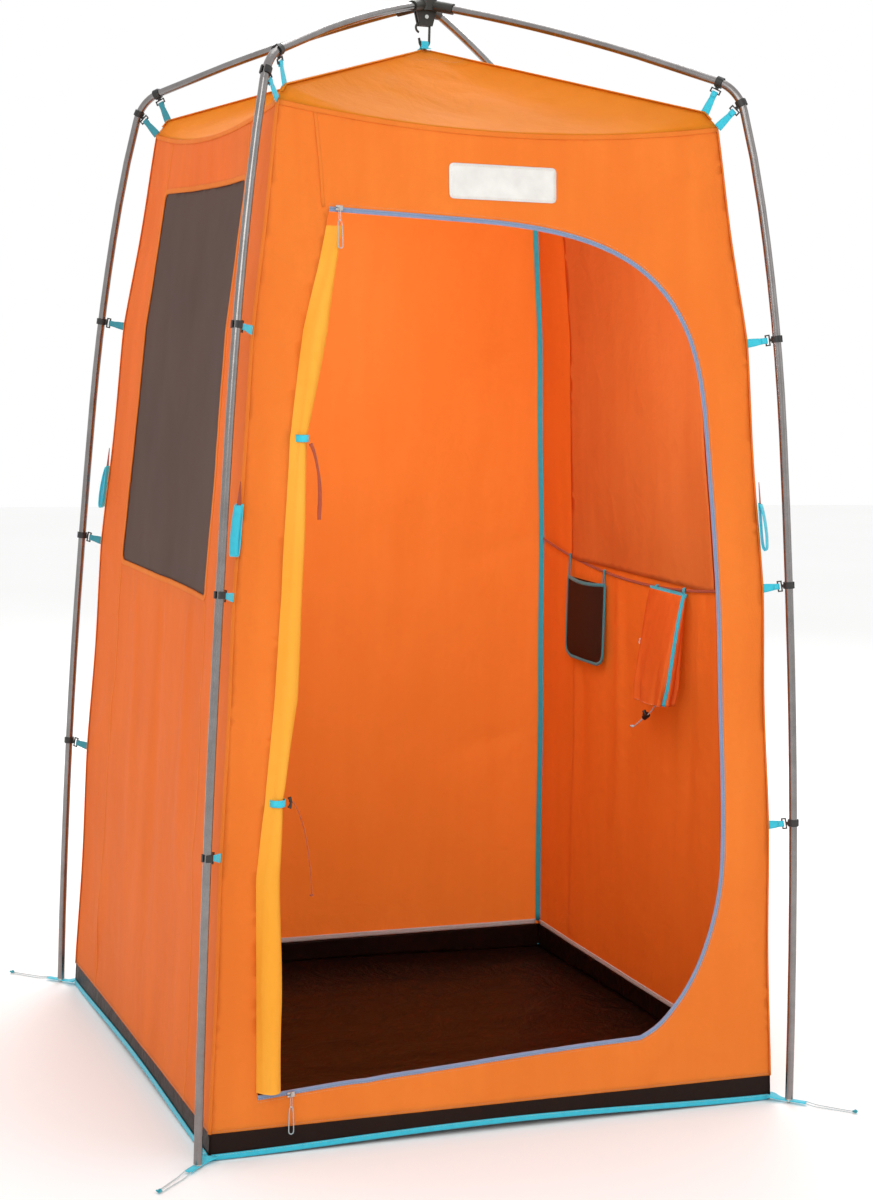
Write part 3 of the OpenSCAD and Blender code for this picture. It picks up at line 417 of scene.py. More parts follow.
# ---- free cords ----
legs = {"front_left": -135, "front_right": -45, "back_left": 135, "back_right": 45}
cordRoutes = {   # in millimetres; the stake and pull loops are one half, mirrored for the other
    "stake": [(898, -6, 5.6), (905, -6.4, 4.4), (913, -6.6, 3), (922, -6.6, 2.2), (932, -6.4, 2), (943, -6, 2),
              (954, -5.6, 2), (965, -5.2, 2), (976, -5, 2), (986, -4.9, 2), (992, -4.4, 2), (996, -2.4, 2),
              (997, 0, 2)],
    "pull": [(-2.6, 0, 0), (-3.4, 0, 5), (-4, 0.5, 10), (-4.2, 0.5, 15), (-4.2, 0.5, 20), (-4.4, 0.5, 25),
             (-4.6, 0.5, 30), (-4.6, 0.5, 35), (-4.6, 0.5, 40), (-4.6, 0.5, 45), (-3.4, 0.5, 48.5), (0, 0.5, 50)],
    "ribbon": [(-396.5, -526, 1308), (-394, -526.5, 1303), (-391, -527, 1296), (-388.5, -527.3, 1288),
               (-386, -527.6, 1279), (-384, -528, 1270), (-382, -528.4, 1260), (-380.5, -528.8, 1250),
               (-379.4, -529.2, 1240), (-378.6, -529.6, 1230), (-378, -530, 1220), (-378, -530.4, 1210),
               (-378, -530.8, 1200), (-378.6, -531.3, 1190), (-379, -531.8, 1180), (-379, -532.4, 1170)],
    "tie": [(-434, -557, 656), (-430, -560, 657), (-426, -563, 654), (-422, -565, 647), (-418, -566, 638),
            (-414, -567, 626), (-410, -568, 614), (-406, -568, 600), (-403, -569, 586), (-400, -569, 570),
            (-398, -570, 555), (-396, -570, 540), (-394, -571, 525), (-393, -571, 510), (-392, -572, 495),
            (-391, -572, 480)],
    "bag": [(502, -166, 738), (500, -160, 729), (498, -153, 721), (496, -145, 714), (494, -137, 708),
            (492, -129, 702), (490, -121, 696), (488, -113, 690), (486, -105, 684), (484, -97, 679)],
}
pullPlaces = {  # where each zip pull hangs, and how far the wall leans there, in degrees
    "pull_cord_top": ((-334.822, -473.267, 1733.503), 7.598, "pull_top"),
    "pull_cord_sill": ((-427.687, -580.583, 110.911), 2.141, "pull_sill"),
}
ringLength, ringOut = 24, 5.7


def cordCurve(name, points, thick, material):
    line = smoothLine([np.array(p) * mm for p in points], 3 * mm)
    data = curveData(name, [line])
    data.bevel_depth = thick / 2
    data.bevel_resolution = 3
    data.use_fill_caps = True
    data.materials.append(material)
    return linkObject(name, data), line


def knotMesh(name, centre, size, material, seed):
    # a hand-tied knot: two turns round each other, squeezed
    line = []
    for k in range(49):
        t = 2 * math.pi * k / 48
        line.append(np.array(centre) + size * np.array([
            (math.sin(t) + 2 * math.sin(2 * t)) * 0.3 + 0.05 * math.sin(seed + 3 * t),
            (math.cos(t) - 2 * math.cos(2 * t)) * 0.3, -math.sin(3 * t) * 0.28]))
    return joinParts(name, [sweep(line[:-1], (0.3, 0.2, 1), roundProfile(size * 0.24, 8), loop=True)], [material])


def makeCords():
    half = cordRoutes["stake"]
    stakeLoop = half + [(x, -y, z) for x, y, z in half[-2::-1]]
    for corner, degrees in legs.items():
        c, s = math.cos(math.radians(degrees)), math.sin(math.radians(degrees))
        route = [(x * c - y * s, x * s + y * c, z) for x, y, z in stakeLoop]
        cord, line = cordCurve("stakeCord_" + corner, route, 2.2 * mm, paleCord)
        settle(cord, replaces=["stake_cord_" + corner])
        knot = knotMesh("stakeKnot_" + corner, (0.9975 * c, 0.9975 * s, 0.0045), 5.5 * mm, tealKnot, degrees)
        settle(knot)
    half = cordRoutes["pull"]
    pullLoop = half + [(-x, y, z) for x, y, z in half[-2::-1]]
    for name, (place, lean, body) in pullPlaces.items():
        a = math.radians(lean)
        route = []
        for px, py, pz in pullLoop:
            d, fall = -py - ringOut, pz + ringLength
            route.append((place[0] + px, place[1] + d * math.cos(a) - fall * math.sin(a),
                          place[2] - d * math.sin(a) - fall * math.cos(a)))
        cord, line = cordCurve("pullCord_" + body, route, 2 * mm, zipCord)
        settle(cord, body, [name])
    line = smoothLine([np.array(p) * mm for p in cordRoutes["ribbon"]], 4 * mm)
    twist = [(0.35 + 0.5 * math.sin(k * 0.16), -1, 0.1) for k in range(len(line))]
    ribbon = joinParts("tieRibbon", [sweep(line, twist, flatProfile(7.6 * mm, 0.9 * mm, 4, 0.4 * mm))], [rustTape])
    settle(ribbon, replaces=["tie_ribbon"])
    for name, key, body, thick, material, slot, knotSize, seed in (
            ("tieCord", "tie", "tent", 2 * mm, rustCord, "rust_cord", 4 * mm, 1),
            ("bagCord", "bag", "bag", 2.4 * mm, paleCord, "pale_cord", 5 * mm, 4)):
        cord, line = cordCurve(name, cordRoutes[key], thick, material)
        settle(cord, body, [key + "_cord"])
        knot = knotMesh(name + "Knot", line[-1] + np.array([0, 0, 2 * mm]), knotSize, material, seed)
        settle(knot, body)


makeCords()
print("cords laid")


# ---- the cabin's shape ----
cabin = {
    "heights": [0, 0.5597, 1.03069, 1.50842, 1.92321],
    "reaches": [0.58313, 0.56220, 0.53921, 0.50169, 0.44636],
    "stops": [0.03, 0.5597, 1.03069, 1.50842, 1.92321],   # where the corner is held by a tab
    "scallop": 2.5 * mm,
    "topDip": 35 * mm,
    "peak": 2.08632,
    "ridge": (0.60423, 1.95129),   # reach along the diagonal, and height
    "step": 12 * mm,
    "cloth": 0.7 * mm,
    "bow": 6 * mm,   # how far a wall's middle is drawn in
    "heldEdge": 0.10,   # the depth of the zones under the roof and over the hem that stay flat
    "waves": [(3.1, 1.7, 0, 7 * mm), (11, 6, 3, 2.2 * mm), (34, 26, 8, 0.6 * mm)],   # x and z per metre, seed, height
}
wallTop, topReach = cabin["heights"][-1], cabin["reaches"][-1]
sideTurns = {"front": 0, "right": 90, "back": 180, "left": -90}
folds = {   # start, end, half width and height of each soft fold, seen from outside
    "front": [((-0.376, 1.905), (-0.35, 1.72), 0.012, 0.006), ((-0.44, 1.90), (-0.30, 1.60), 0.022, -0.006),
              ((0.44, 1.90), (0.20, 1.74), 0.022, 0.007), ((0.44, 1.89), (0.33, 1.60), 0.02, 0.007),
              ((0.49, 1.51), (0.40, 1.62), 0.02, 0.006), ((0.49, 1.50), (0.42, 1.30), 0.02, -0.006),
              ((0.535, 1.03), (0.46, 1.16), 0.018, 0.006), ((0.535, 1.02), (0.47, 0.80), 0.018, 0.007),
              ((0.56, 0.56), (0.47, 0.66), 0.018, 0.006), ((0.56, 0.55), (0.47, 0.36), 0.02, 0.007),
              ((-0.50, 1.50), (-0.42, 1.62), 0.014, 0.005), ((-0.53, 1.03), (-0.47, 1.15), 0.012, 0.005),
              ((-0.30, 0.06), (-0.26, 0.15), 0.02, 0.006), ((0.30, 0.06), (0.36, 0.22), 0.03, 0.007),
              ((0.10, 1.88), (0.12, 1.73), 0.02, 0.004), ((-0.15, 1.88), (-0.17, 1.73), 0.018, 0.004),
              ((0.50, 0.10), (0.38, 0.14), 0.015, 0.006)],
    "left": [((-0.44, 1.90), (-0.30, 1.76), 0.02, 0.006), ((0.44, 1.90), (0.29, 1.78), 0.02, 0.007),
             ((-0.53, 1.03), (-0.36, 0.98), 0.02, 0.007), ((0.53, 1.03), (0.34, 0.97), 0.02, 0.008),
             ((0.53, 1.02), (0.30, 0.72), 0.03, 0.007), ((-0.55, 0.56), (-0.30, 0.74), 0.03, 0.008),
             ((0.56, 0.55), (0.30, 0.50), 0.03, 0.007), ((-0.20, 0.98), (-0.16, 0.30), 0.03, 0.005),
             ((0.22, 0.98), (0.26, 0.34), 0.03, 0.006), ((0.0, 0.98), (0.03, 0.10), 0.035, -0.006),
             ((0.0, 1.87), (0.02, 1.79), 0.02, 0.004), ((-0.42, 0.08), (-0.33, 0.40), 0.03, 0.006)],
    "right": [((-0.44, 1.90), (-0.30, 1.76), 0.02, 0.006), ((0.44, 1.90), (0.29, 1.78), 0.02, 0.007),
              ((-0.53, 1.03), (-0.34, 0.97), 0.02, 0.007), ((0.53, 1.03), (0.36, 0.98), 0.02, 0.007),
              ((-0.24, 0.98), (-0.20, 0.28), 0.03, 0.006), ((0.1, 0.98), (0.13, 0.14), 0.03, -0.006),
              ((0.30, 0.96), (0.34, 0.30), 0.03, 0.006), ((-0.42, 0.60), (-0.36, 0.10), 0.03, 0.005)],
    "back": [((-0.44, 1.90), (-0.28, 1.66), 0.025, 0.008), ((0.44, 1.90), (0.28, 1.66), 0.025, 0.008),
             ((-0.49, 1.50), (-0.28, 1.40), 0.025, 0.007), ((0.49, 1.50), (0.28, 1.40), 0.025, 0.007),
             ((-0.53, 1.03), (-0.26, 0.96), 0.03, 0.007), ((0.53, 1.03), (0.26, 0.96), 0.03, 0.007),
             ((-0.55, 0.56), (-0.28, 0.50), 0.03, 0.007), ((0.55, 0.56), (0.28, 0.50), 0.03, 0.007),
             ((0.0, 1.86), (0.02, 1.30), 0.04, 0.005), ((-0.15, 1.2), (-0.13, 0.2), 0.04, -0.005),
             ((0.2, 1.0), (0.22, 0.1), 0.04, 0.006)],
}


def reach(z):
    return np.interp(z, cabin["heights"], cabin["reaches"])


def rise(u):
    return wallTop - cabin["topDip"] * (1 - u * u)


def scallopAt(z):
    stops = np.array(cabin["stops"])
    k = np.clip(np.searchsorted(stops, z) - 1, 0, len(stops) - 2)
    t = np.clip((z - stops[k]) / (stops[k + 1] - stops[k]), 0, 1)
    return cabin["scallop"] * np.sin(np.pi * t) ** 2


def smoothStep(value):
    t = np.clip(value, 0, 1)
    return t * t * (3 - 2 * t)


# where a point of a wall lies: s runs to the right and z up, both seen from outside; lift is outwards
def wallPoint(side, s, z, lift=0.0):
    s, z = np.atleast_1d(np.asarray(s, dtype=float)), np.atleast_1d(np.asarray(z, dtype=float))
    out = reach(z)
    u = np.clip(s / out, -1.05, 1.05)
    top = rise(np.clip(s / topReach, -1, 1))
    held = cabin["heldEdge"]
    hold = smoothStep((top - z) / held) * smoothStep((z - 0.02) / held) * (1 - np.abs(np.clip(u, -1, 1)) ** 5)
    soft = np.zeros_like(s)
    for (a, b, width, high) in folds[side]:
        a, b = np.array(a), np.array(b)
        run = b - a
        size = np.linalg.norm(run)
        t = ((s - a[0]) * run[0] + (z - a[1]) * run[1]) / size ** 2
        off = ((s - a[0]) * run[1] - (z - a[1]) * run[0]) / size
        wide = width * (0.5 + 0.9 * np.clip(t, 0, 1))
        soft += high * np.exp(-(off / wide) ** 2) * smoothStep(t / 0.12 + 0.3) * smoothStep((1.05 - t) / 0.6)
    seed = {"front": 1.7, "right": 5.2, "back": 9.4, "left": 13.8}[side]
    wave = np.array([sum(noise.noise(Vector((x * fx, y * fz, seed + more))) * high
                         for fx, fz, more, high in cabin["waves"]) for x, y in zip(s, z)])
    bow = -cabin["bow"] * (1 - u * u)
    pull = scallopAt(z) * np.abs(np.clip(u, -1, 1)) ** 3
    depth = out + hold * (bow + soft + wave) - pull + lift
    x = s - np.sign(s) * pull
    angle = math.radians(sideTurns[side])
    c, n = math.cos(angle), math.sin(angle)
    return np.stack([x * c + depth * n, x * n - depth * c, z], axis=1)


def outwards(side):
    angle = math.radians(sideTurns[side])
    return (math.sin(angle), -math.cos(angle), 0.08)


def bezier(a, b, c, d, count=24):
    t = np.linspace(0, 1, count)[:, None]
    a, b, c, d = (np.array(p, dtype=float) for p in (a, b, c, d))
    return list(a * (1 - t) ** 3 + 3 * b * t * (1 - t) ** 2 + 3 * c * t * t * (1 - t) + d * t ** 3)


def resample(loop, step, closed=True):
    pts = [np.array(p, dtype=float) for p in loop]
    if closed:
        pts = pts + [pts[0]]
    out = []
    for a, b in zip(pts, pts[1:]):
        count = max(1, int(round(np.linalg.norm(b - a) / step)))
        out.extend(a + (b - a) * k / count for k in range(count))
    return out if closed else out + [pts[-1]]


def inside(points, loop):
    hit = np.zeros(len(points), dtype=bool)
    x, y = points[:, 0], points[:, 1]
    for a, b in zip(loop, loop[1:] + loop[:1]):
        crosses = (a[1] > y) != (b[1] > y)
        if b[1] != a[1]:
            hit ^= crosses & (x < (b[0] - a[0]) * (y - a[1]) / (b[1] - a[1]) + a[0])
    return hit


def flatSheet(outline, holes, step):
    loops = [resample(loop, step) for loop in [outline] + holes]
    points, edges = [], []
    for loop in loops:
        base = len(points)
        points.extend(loop)
        edges.extend((base + k, base + (k + 1) % len(loop)) for k in range(len(loop)))
    low, high = np.min(loops[0], axis=0), np.max(loops[0], axis=0)
    xs, ys = np.meshgrid(np.arange(low[0], high[0], step), np.arange(low[1], high[1], step * 0.9))
    grid = np.stack([xs.ravel(), ys.ravel()], axis=1)
    grid += rng.uniform(-0.14, 0.14, grid.shape) * step
    keep = inside(grid, loops[0])
    for loop in loops[1:]:
        keep &= ~inside(grid, loop)
    grid = grid[keep]
    near = np.full(len(grid), 9.0)
    for p in points:
        near = np.minimum(near, (grid[:, 0] - p[0]) ** 2 + (grid[:, 1] - p[1]) ** 2)
    grid = grid[near > (0.55 * step) ** 2]
    points = [Vector(p) for p in points] + [Vector(p) for p in grid]
    verts, _, faces, *_ = delaunay_2d_cdt(points, edges, [], 0, 1e-7)
    verts = np.array([tuple(v) for v in verts])
    faces = [list(f) for f in faces]
    middles = np.array([verts[f].mean(axis=0) for f in faces])
    keep = inside(middles, loops[0])
    for loop in loops[1:]:
        keep &= ~inside(middles, loop)
    kept = []
    for face, good in zip(faces, keep):
        if good:
            a, b, c = (verts[i] for i in face[:3])
            turn = (b[0] - a[0]) * (c[1] - a[1]) - (b[1] - a[1]) * (c[0] - a[0])
            if abs(turn) > 1e-9:
                kept.append(face if turn > 0 else face[::-1])
    return verts, kept


def sheetOnWall(name, side, outline, holes, material, lift=0.0, step=None, thick=None):
    verts, faces = flatSheet(outline, holes, step or cabin["step"])
    piece = meshObject(name, wallPoint(side, verts[:, 0], verts[:, 1], lift), faces, verts, [material])
    thicken(piece, thick or cabin["cloth"])
    return piece


def wallLine(side, points, lift, step=10 * mm, closed=False):
    flat = np.array(resample(points, step, closed))
    return wallPoint(side, flat[:, 0], flat[:, 1], lift)


def stripOnWall(side, points, width, thick, lift, step=10 * mm, closed=False, kind=0, crown=0.0, scales=None):
    line = wallLine(side, points, lift, step, closed)
    return sweep(line, outwards(side), flatProfile(width, thick, 4, crown), scales, closed, kind)


def roundedLoop(corners, radius, steps=6):
    loop = []
    for a, b, c in zip(corners[-1:] + corners[:-1], corners, corners[1:] + corners[:1]):
        a, b, c = (np.array(p, dtype=float) for p in (a, b, c))
        back, ahead = (a - b) / np.linalg.norm(a - b), (c - b) / np.linalg.norm(c - b)
        start, end = b + back * radius, b + ahead * radius
        loop.extend(start * (1 - t) ** 2 + 2 * b * t * (1 - t) + end * t * t for t in np.linspace(0, 1, steps))
    return loop


doorHinge = [(-0.351, 1.728), (-0.403, 1.5116), (-0.434, 1.3162), (-0.461, 0.843), (-0.494, 0.5168), (-0.490, 0.113)]
doorEdge = ([np.array((-0.351, 1.728)), np.array((-0.2, 1.7233))]
            + bezier((-0.060, 1.719), (0.290, 1.708), (0.385, 1.600), (0.411, 1.340))
            + bezier((0.411, 1.340), (0.425, 1.220), (0.458, 0.750), (0.457, 0.495))[1:]
            + bezier((0.457, 0.495), (0.457, 0.370), (0.400, 0.210), (0.288, 0.157))[1:]
            + [np.array((-0.490, 0.113))])
doorLoop = doorEdge + [np.array(p) for p in doorHinge[::-1][1:-1]]
window = {"foot": 1.010, "top": 1.788, "footHalf": 0.338, "topHalf": 0.294, "corner": 0.018, "seam": 10 * mm}


def windowLoop(grow=0.0):
    w = window
    top = w["top"] + grow
    corners = [(-w["footHalf"] - grow, w["foot"] - grow), (w["footHalf"] + grow, w["foot"] - grow),
               (w["topHalf"] + grow, top), (0.1, top - 0.004), (-0.1, top - 0.004), (-w["topHalf"] - grow, top)]
    return roundedLoop(corners, w["corner"])


def wallLoop(foot=0.050):
    right = [(float(reach(z)), z) for z in np.linspace(foot, wallTop, 60)]
    top = [(u * topReach, rise(u)) for u in np.linspace(1, -1, 50)[1:-1]]
    left = [(-x, z) for x, z in right[::-1]]
    return [np.array(p) for p in right + top + left]


def makeWalls():
    cloths = {"front": (wallCloth, [doorLoop], "frontWall", "front_wall"),
              "left": (shadedSideCloth, [windowLoop()], "leftWall", "left_wall"),
              "right": (shadedSideCloth, [windowLoop()], "rightWall", "right_wall"),
              "back": (litBackCloth, [], "backWall", "back_wall")}
    for side, (cloth, holes, name, node) in cloths.items():
        piece = sheetOnWall(name, side, wallLoop(), holes, cloth)
        settle(piece, replaces=[node])


def makeSeams():
    # felled seams: down each corner, round the windows and along the roof's edge
    seams = []
    for side in sideTurns:
        heights = np.linspace(0.05, wallTop, 110)
        line = wallPoint(side, reach(heights), heights)
        turn = math.radians(sideTurns[side] + 45)
        seams.append(sweep(line, (math.sin(turn), -math.cos(turn), 0), flatProfile(7 * mm, 1.6 * mm, 4, 0.8 * mm)))
        top = [(u * topReach * 0.998, rise(u) - 4 * mm) for u in np.linspace(-1, 1, 70)]
        seams.append(stripOnWall(side, top, 9 * mm, 1.4 * mm, 0.9 * mm, crown=0.5 * mm))
        if side in ("left", "right"):
            seams.append(stripOnWall(side, windowLoop(6 * mm), 10 * mm, 1.0 * mm, 0.9 * mm, 8 * mm, True))
            for sign in (-1, 1):
                topEnd = (sign * 0.288, rise(0.65) - 0.01)
                for ends in ([topEnd, (sign * 0.297, 1.79)], [(sign * 0.345, 1.0), (sign * 0.39, 0.05)]):
                    seams.append(stripOnWall(side, ends, 5 * mm, 0.9 * mm, 0.6 * mm))
        if side == "front":
            seams.append(stripOnWall(side, [(-0.376, 1.905), (-0.362, 1.735)], 6 * mm, 1.2 * mm, 0.9 * mm))
    settle(joinParts("wallSeams", seams, [wallCloth]))


stitch = {"Stitch length": 3.2 * mm, "Gap": 2.2 * mm, "Thickness": 0.6 * mm}


# copies of one small shape along lines, made with Geometry Nodes; the sizes are the inputs of its group
def repeatAlong(name, rows, material, sizes, pitchOf, copyOf, body="tent"):
    guide = linkObject(name + "Guide", curveData(name, rows))
    tree = bpy.data.node_groups.new(name + "Tree", "GeometryNodeTree")
    tree.interface.new_socket("Geometry", in_out="INPUT", socket_type="NodeSocketGeometry")
    sockets = {}
    for label, value in sizes.items():
        sockets[tree.interface.new_socket(label, in_out="INPUT", socket_type="NodeSocketFloat").identifier] = value
    tree.interface.new_socket("Geometry", in_out="OUTPUT", socket_type="NodeSocketGeometry")
    start = addNode(tree, "NodeGroupInput").outputs
    spread = addNode(tree, "GeometryNodeCurveToPoints", {"Curve": start["Geometry"], "Length": pitchOf(tree, start)},
                     mode="LENGTH").outputs
    shape, turn, (x, y, z) = copyOf(tree, start, spread["Tangent"])
    scale = addNode(tree, "ShaderNodeCombineXYZ", {"X": x, "Y": y, "Z": z}).outputs["Vector"]
    laid = addNode(tree, "GeometryNodeInstanceOnPoints", {"Points": spread["Points"], "Instance": shape,
                                                          "Rotation": turn, "Scale": scale})
    real = addNode(tree, "GeometryNodeRealizeInstances", {"Geometry": laid.outputs["Instances"]})
    painted = addNode(tree, "GeometryNodeSetMaterial", {"Geometry": real.outputs["Geometry"], "Material": material})
    addNode(tree, "NodeGroupOutput", {"Geometry": painted.outputs["Geometry"]})
    copies = guide.modifiers.new("copies", "NODES")
    copies.node_group = tree
    for key, value in sockets.items():
        copies[key] = value
    mesh = bpy.data.meshes.new_from_object(guide.evaluated_get(bpy.context.evaluated_depsgraph_get()))
    bpy.data.objects.remove(guide)
    return settle(linkObject(name, mesh), body)


def stitchPitch(tree, start):
    return addNode(tree, "ShaderNodeMath", {0: start["Stitch length"], 1: start["Gap"]}).outputs[0]


# a stitch: a short capsule turned along the row
def stitchCopy(tree, start, tangent):
    shape = addNode(tree, "GeometryNodeMeshUVSphere", {"Segments": 6, "Rings": 4, "Radius": 0.5}).outputs["Mesh"]
    aim = addNode(tree, "FunctionNodeAlignRotationToVector", {"Vector": tangent}, axis="Z").outputs["Rotation"]
    return shape, aim, (start["Thickness"], start["Thickness"], start["Stitch length"])


def sewRows(name, rows, material, body="tent"):
    return repeatAlong(name, rows, material, stitch, stitchPitch, stitchCopy, body)


def makeRoof():
    # the canopy: CAD rings from the walls' top edge to the peak, pulled into soft ridges
    ridgeShare = 1 - cabin["ridge"][0] / (topReach * math.sqrt(2))
    extra = cabin["ridge"][1] - wallTop - ridgeShare * (cabin["peak"] - wallTop)
    across, up = 56, 44
    shares = [0, ridgeShare / 2, ridgeShare] + [ridgeShare + (1 - ridgeShare) * (k / up) for k in range(1, up)]

    def roofPoint(turn, u, s):
        bump = 0 if s == 0 else extra * (1 - s) / (1 - ridgeShare) * min(1, s / ridgeShare)
        sag = 0.014 * math.sin(math.pi * s) * (1 - u * u)
        z = rise(u) + (cabin["peak"] - rise(u)) * s + bump * abs(u) ** 6 - sag
        x, y = u * (1 - s) * topReach, -(1 - s) * (float(reach(rise(u))) if abs(u) < 1 else topReach)
        loose = (1 - abs(u) ** 4) * math.sin(math.pi * min(1, s * 1.02))
        z += loose * (noise.noise(Vector((x * 7 + turn, y * 7, 2))) * 0.009
                      + 0.0035 * math.sin(9 * u + turn) * (1 - s)
                      + noise.noise(Vector((x * 26, y * 26, turn))) * 0.002)
        a = math.radians(turn)
        return (x * math.cos(a) - y * math.sin(a), x * math.sin(a) + y * math.cos(a), z + 1 * mm)

    verts, uvs = [], []
    ring = 4 * across
    for s in shares:
        for turn in (0, 90, 180, 270):
            for k in range(across):
                verts.append(roofPoint(turn, 2 * k / across - 1, s))
                uvs.append((verts[-1][0], verts[-1][1]))
    verts.append((0, 0, cabin["peak"] + 1 * mm))
    uvs.append((0, 0))
    faces = gridFaces(len(shares), ring, True)
    last = (len(shares) - 1) * ring
    faces.extend([last + k, last + (k + 1) % ring, len(verts) - 1] for k in range(ring))
    canopy = meshObject("roofCanopy", verts, faces, uvs, [roofCloth])
    thicken(canopy, cabin["cloth"])
    settle(canopy, replaces=["roof_canopy"])
    parts = []
    for turn in (0, 90, 180, 270):
        line = [np.array(roofPoint(turn, -1, s)) + (0, 0, 1.2 * mm) for s in shares[1:]]
        parts.append(sweep(line, (0, 0, 1), flatProfile(8 * mm, 1.6 * mm, 4, 0.8 * mm)))
    # the reinforcement at the peak: a rounded star of cloth over the canopy
    star = {"corners": 72, "shares": (0.15, 0.5, 0.85, 1), "radius": 0.085}
    count, angles = star["corners"], circle(star["corners"])
    pv, pu = [(0, 0, cabin["peak"] + 2.6 * mm)], [(0, 0)]
    for share in star["shares"]:
        for a in angles:
            square = 1 / max(abs(math.cos(a)), abs(math.sin(a)))
            r = star["radius"] * (0.82 + 0.18 * math.cos(4 * a + math.pi)) * min(square, 1.25) * share
            x, y = r * math.cos(a), r * math.sin(a)
            big = max(abs(x), abs(y))
            s = 1 - big / topReach
            u = (x if abs(y) >= abs(x) else y) / big if big else 0
            z = rise(u) + (cabin["peak"] - rise(u)) * s + extra * (1 - s) / (1 - ridgeShare) * abs(u) ** 6
            lift = (3.4 if share < 1 else 2.2) * mm
            pv.append((x, y, z - 0.014 * math.sin(math.pi * s) * (1 - u * u) + lift))
            pu.append((x, y))
    pf = [[0, 1 + k, 1 + (k + 1) % count] for k in range(count)]
    pf += [[1 + i for i in quad] for quad in gridFaces(len(star["shares"]), count, True, True)]
    parts.append((pv, pf, pu))
    settle(joinParts("roofSeams", parts, [roofCloth]))
    edge = [np.array(pv[1 + 2 * count + k % count]) + (0, 0, 0.8 * mm) for k in range(count + 1)]
    sewRows("peakStitches", [edge], threadWhite)


makeWalls()
print("walls stretched")
makeSeams()
makeRoof()
print("roof and seams sewn")


# ---- base, binding and floor ----
base = {"bandTop": 0.062, "bindingHigh": 11 * mm, "lift": 11 * mm, "floor": 2 * mm, "cloth": 0.8 * mm}


def groundLift(s):
    # the hem rests at the corners and lifts a little between them
    u = np.clip(np.asarray(s) / float(reach(0.01)), -1, 1)
    return base["lift"] * (1 - u * u) ** 2


def makeBase():
    loop = ([np.array((s, float(groundLift(s)) + 2 * mm)) for s in np.linspace(-1, 1, 60) * float(reach(0.0))]
            + [np.array((float(reach(base["bandTop"])), base["bandTop"])),
               np.array((-float(reach(base["bandTop"])), base["bandTop"]))])
    bands, bindings = [], []
    for side in sideTurns:
        verts, faces = flatSheet(loop, [], 10 * mm)
        bands.append((list(wallPoint(side, verts[:, 0], verts[:, 1], -1.2 * mm)), faces, list(verts)))
        points = [(s, float(groundLift(s)) + 6.5 * mm) for s in np.linspace(-0.99, 0.99, 60) * float(reach(0.0))]
        bindings.append(stripOnWall(side, points, base["bindingHigh"], 1.8 * mm, 1.0 * mm, crown=0.5 * mm))
    band = joinParts("floorBand", bands, [floorCloth])
    thicken(band, base["cloth"])
    settle(band, replaces=["floor_band"])
    settle(joinParts("baseBinding", bindings, [cyanBinding]), replaces=["base_binding"])
    # the sewn-in floor, flat on the ground with fine creases from folding
    half, steps = float(reach(0.004)) - 1 * mm, 110
    verts, uvs = [], []
    for j in range(steps + 1):
        for i in range(steps + 1):
            x, y = half * (2 * i / steps - 1), half * (2 * j / steps - 1)
            crease = 0.0012 * math.sin(40 * y + 3 * noise.noise(Vector((x * 2, y * 3, 1))))
            crease += 0.0018 * noise.noise(Vector((x * 6, y * 22, 5)))
            crease += 0.003 * noise.noise(Vector((x * 3, y * 3, 2)))
            edge = min(1, (half - max(abs(x), abs(y))) / 0.05)
            sideways = x if abs(y) > abs(x) else y
            lift = float(groundLift(sideways)) * max(0, 1 - (half - max(abs(x), abs(y))) / 0.12) ** 2
            verts.append((x, y, base["floor"] + max(0, crease * edge + 0.0014) + lift))
            uvs.append((x, y))
    floor = meshObject("floorSheet", verts, gridFaces(steps + 1, steps + 1), uvs, [floorCloth])
    thicken(floor, base["cloth"])
    settle(floor, replaces=["floor_sheet"])
    # seam tape inside: pale along the band's top, cyan up the back right corner
    tapes = [stripOnWall(side, [(-0.57, 0.069), (0.57, 0.069)], 12 * mm, 0.8 * mm, -3.0 * mm)
             for side in ("back", "right", "left")]
    heights = np.linspace(0.07, 1.88, 80)
    corner = wallPoint("back", -reach(heights) + 5 * mm, heights, -4 * mm)
    tapes.append(sweep(corner, (-0.7, -0.7, 0), flatProfile(15 * mm, 0.8 * mm), kind=1))
    settle(joinParts("innerTapes", tapes, [greyTape, cyanBinding]))
    stitches = []
    for side in sideTurns:
        points = [(s, float(groundLift(s)) + 10.2 * mm) for s in np.linspace(-0.985, 0.985, 90) * float(reach(0.0))]
        stitches.append(list(wallLine(side, points, 2.3 * mm, 30 * mm)))
        stitches.append(list(wallLine(side, [(-0.575, 0.054), (0.575, 0.054)], 0.9 * mm, 20 * mm)))
    sewRows("hemStitches", stitches, threadWhite)


makeBase()
print("base and floor laid")


# ---- windows and their privacy panels ----
privacy = {"rollRadius": 17 * mm, "rollHalf": 0.328, "rollHeight": 1.027, "turns": 8, "panelGrow": 12 * mm}


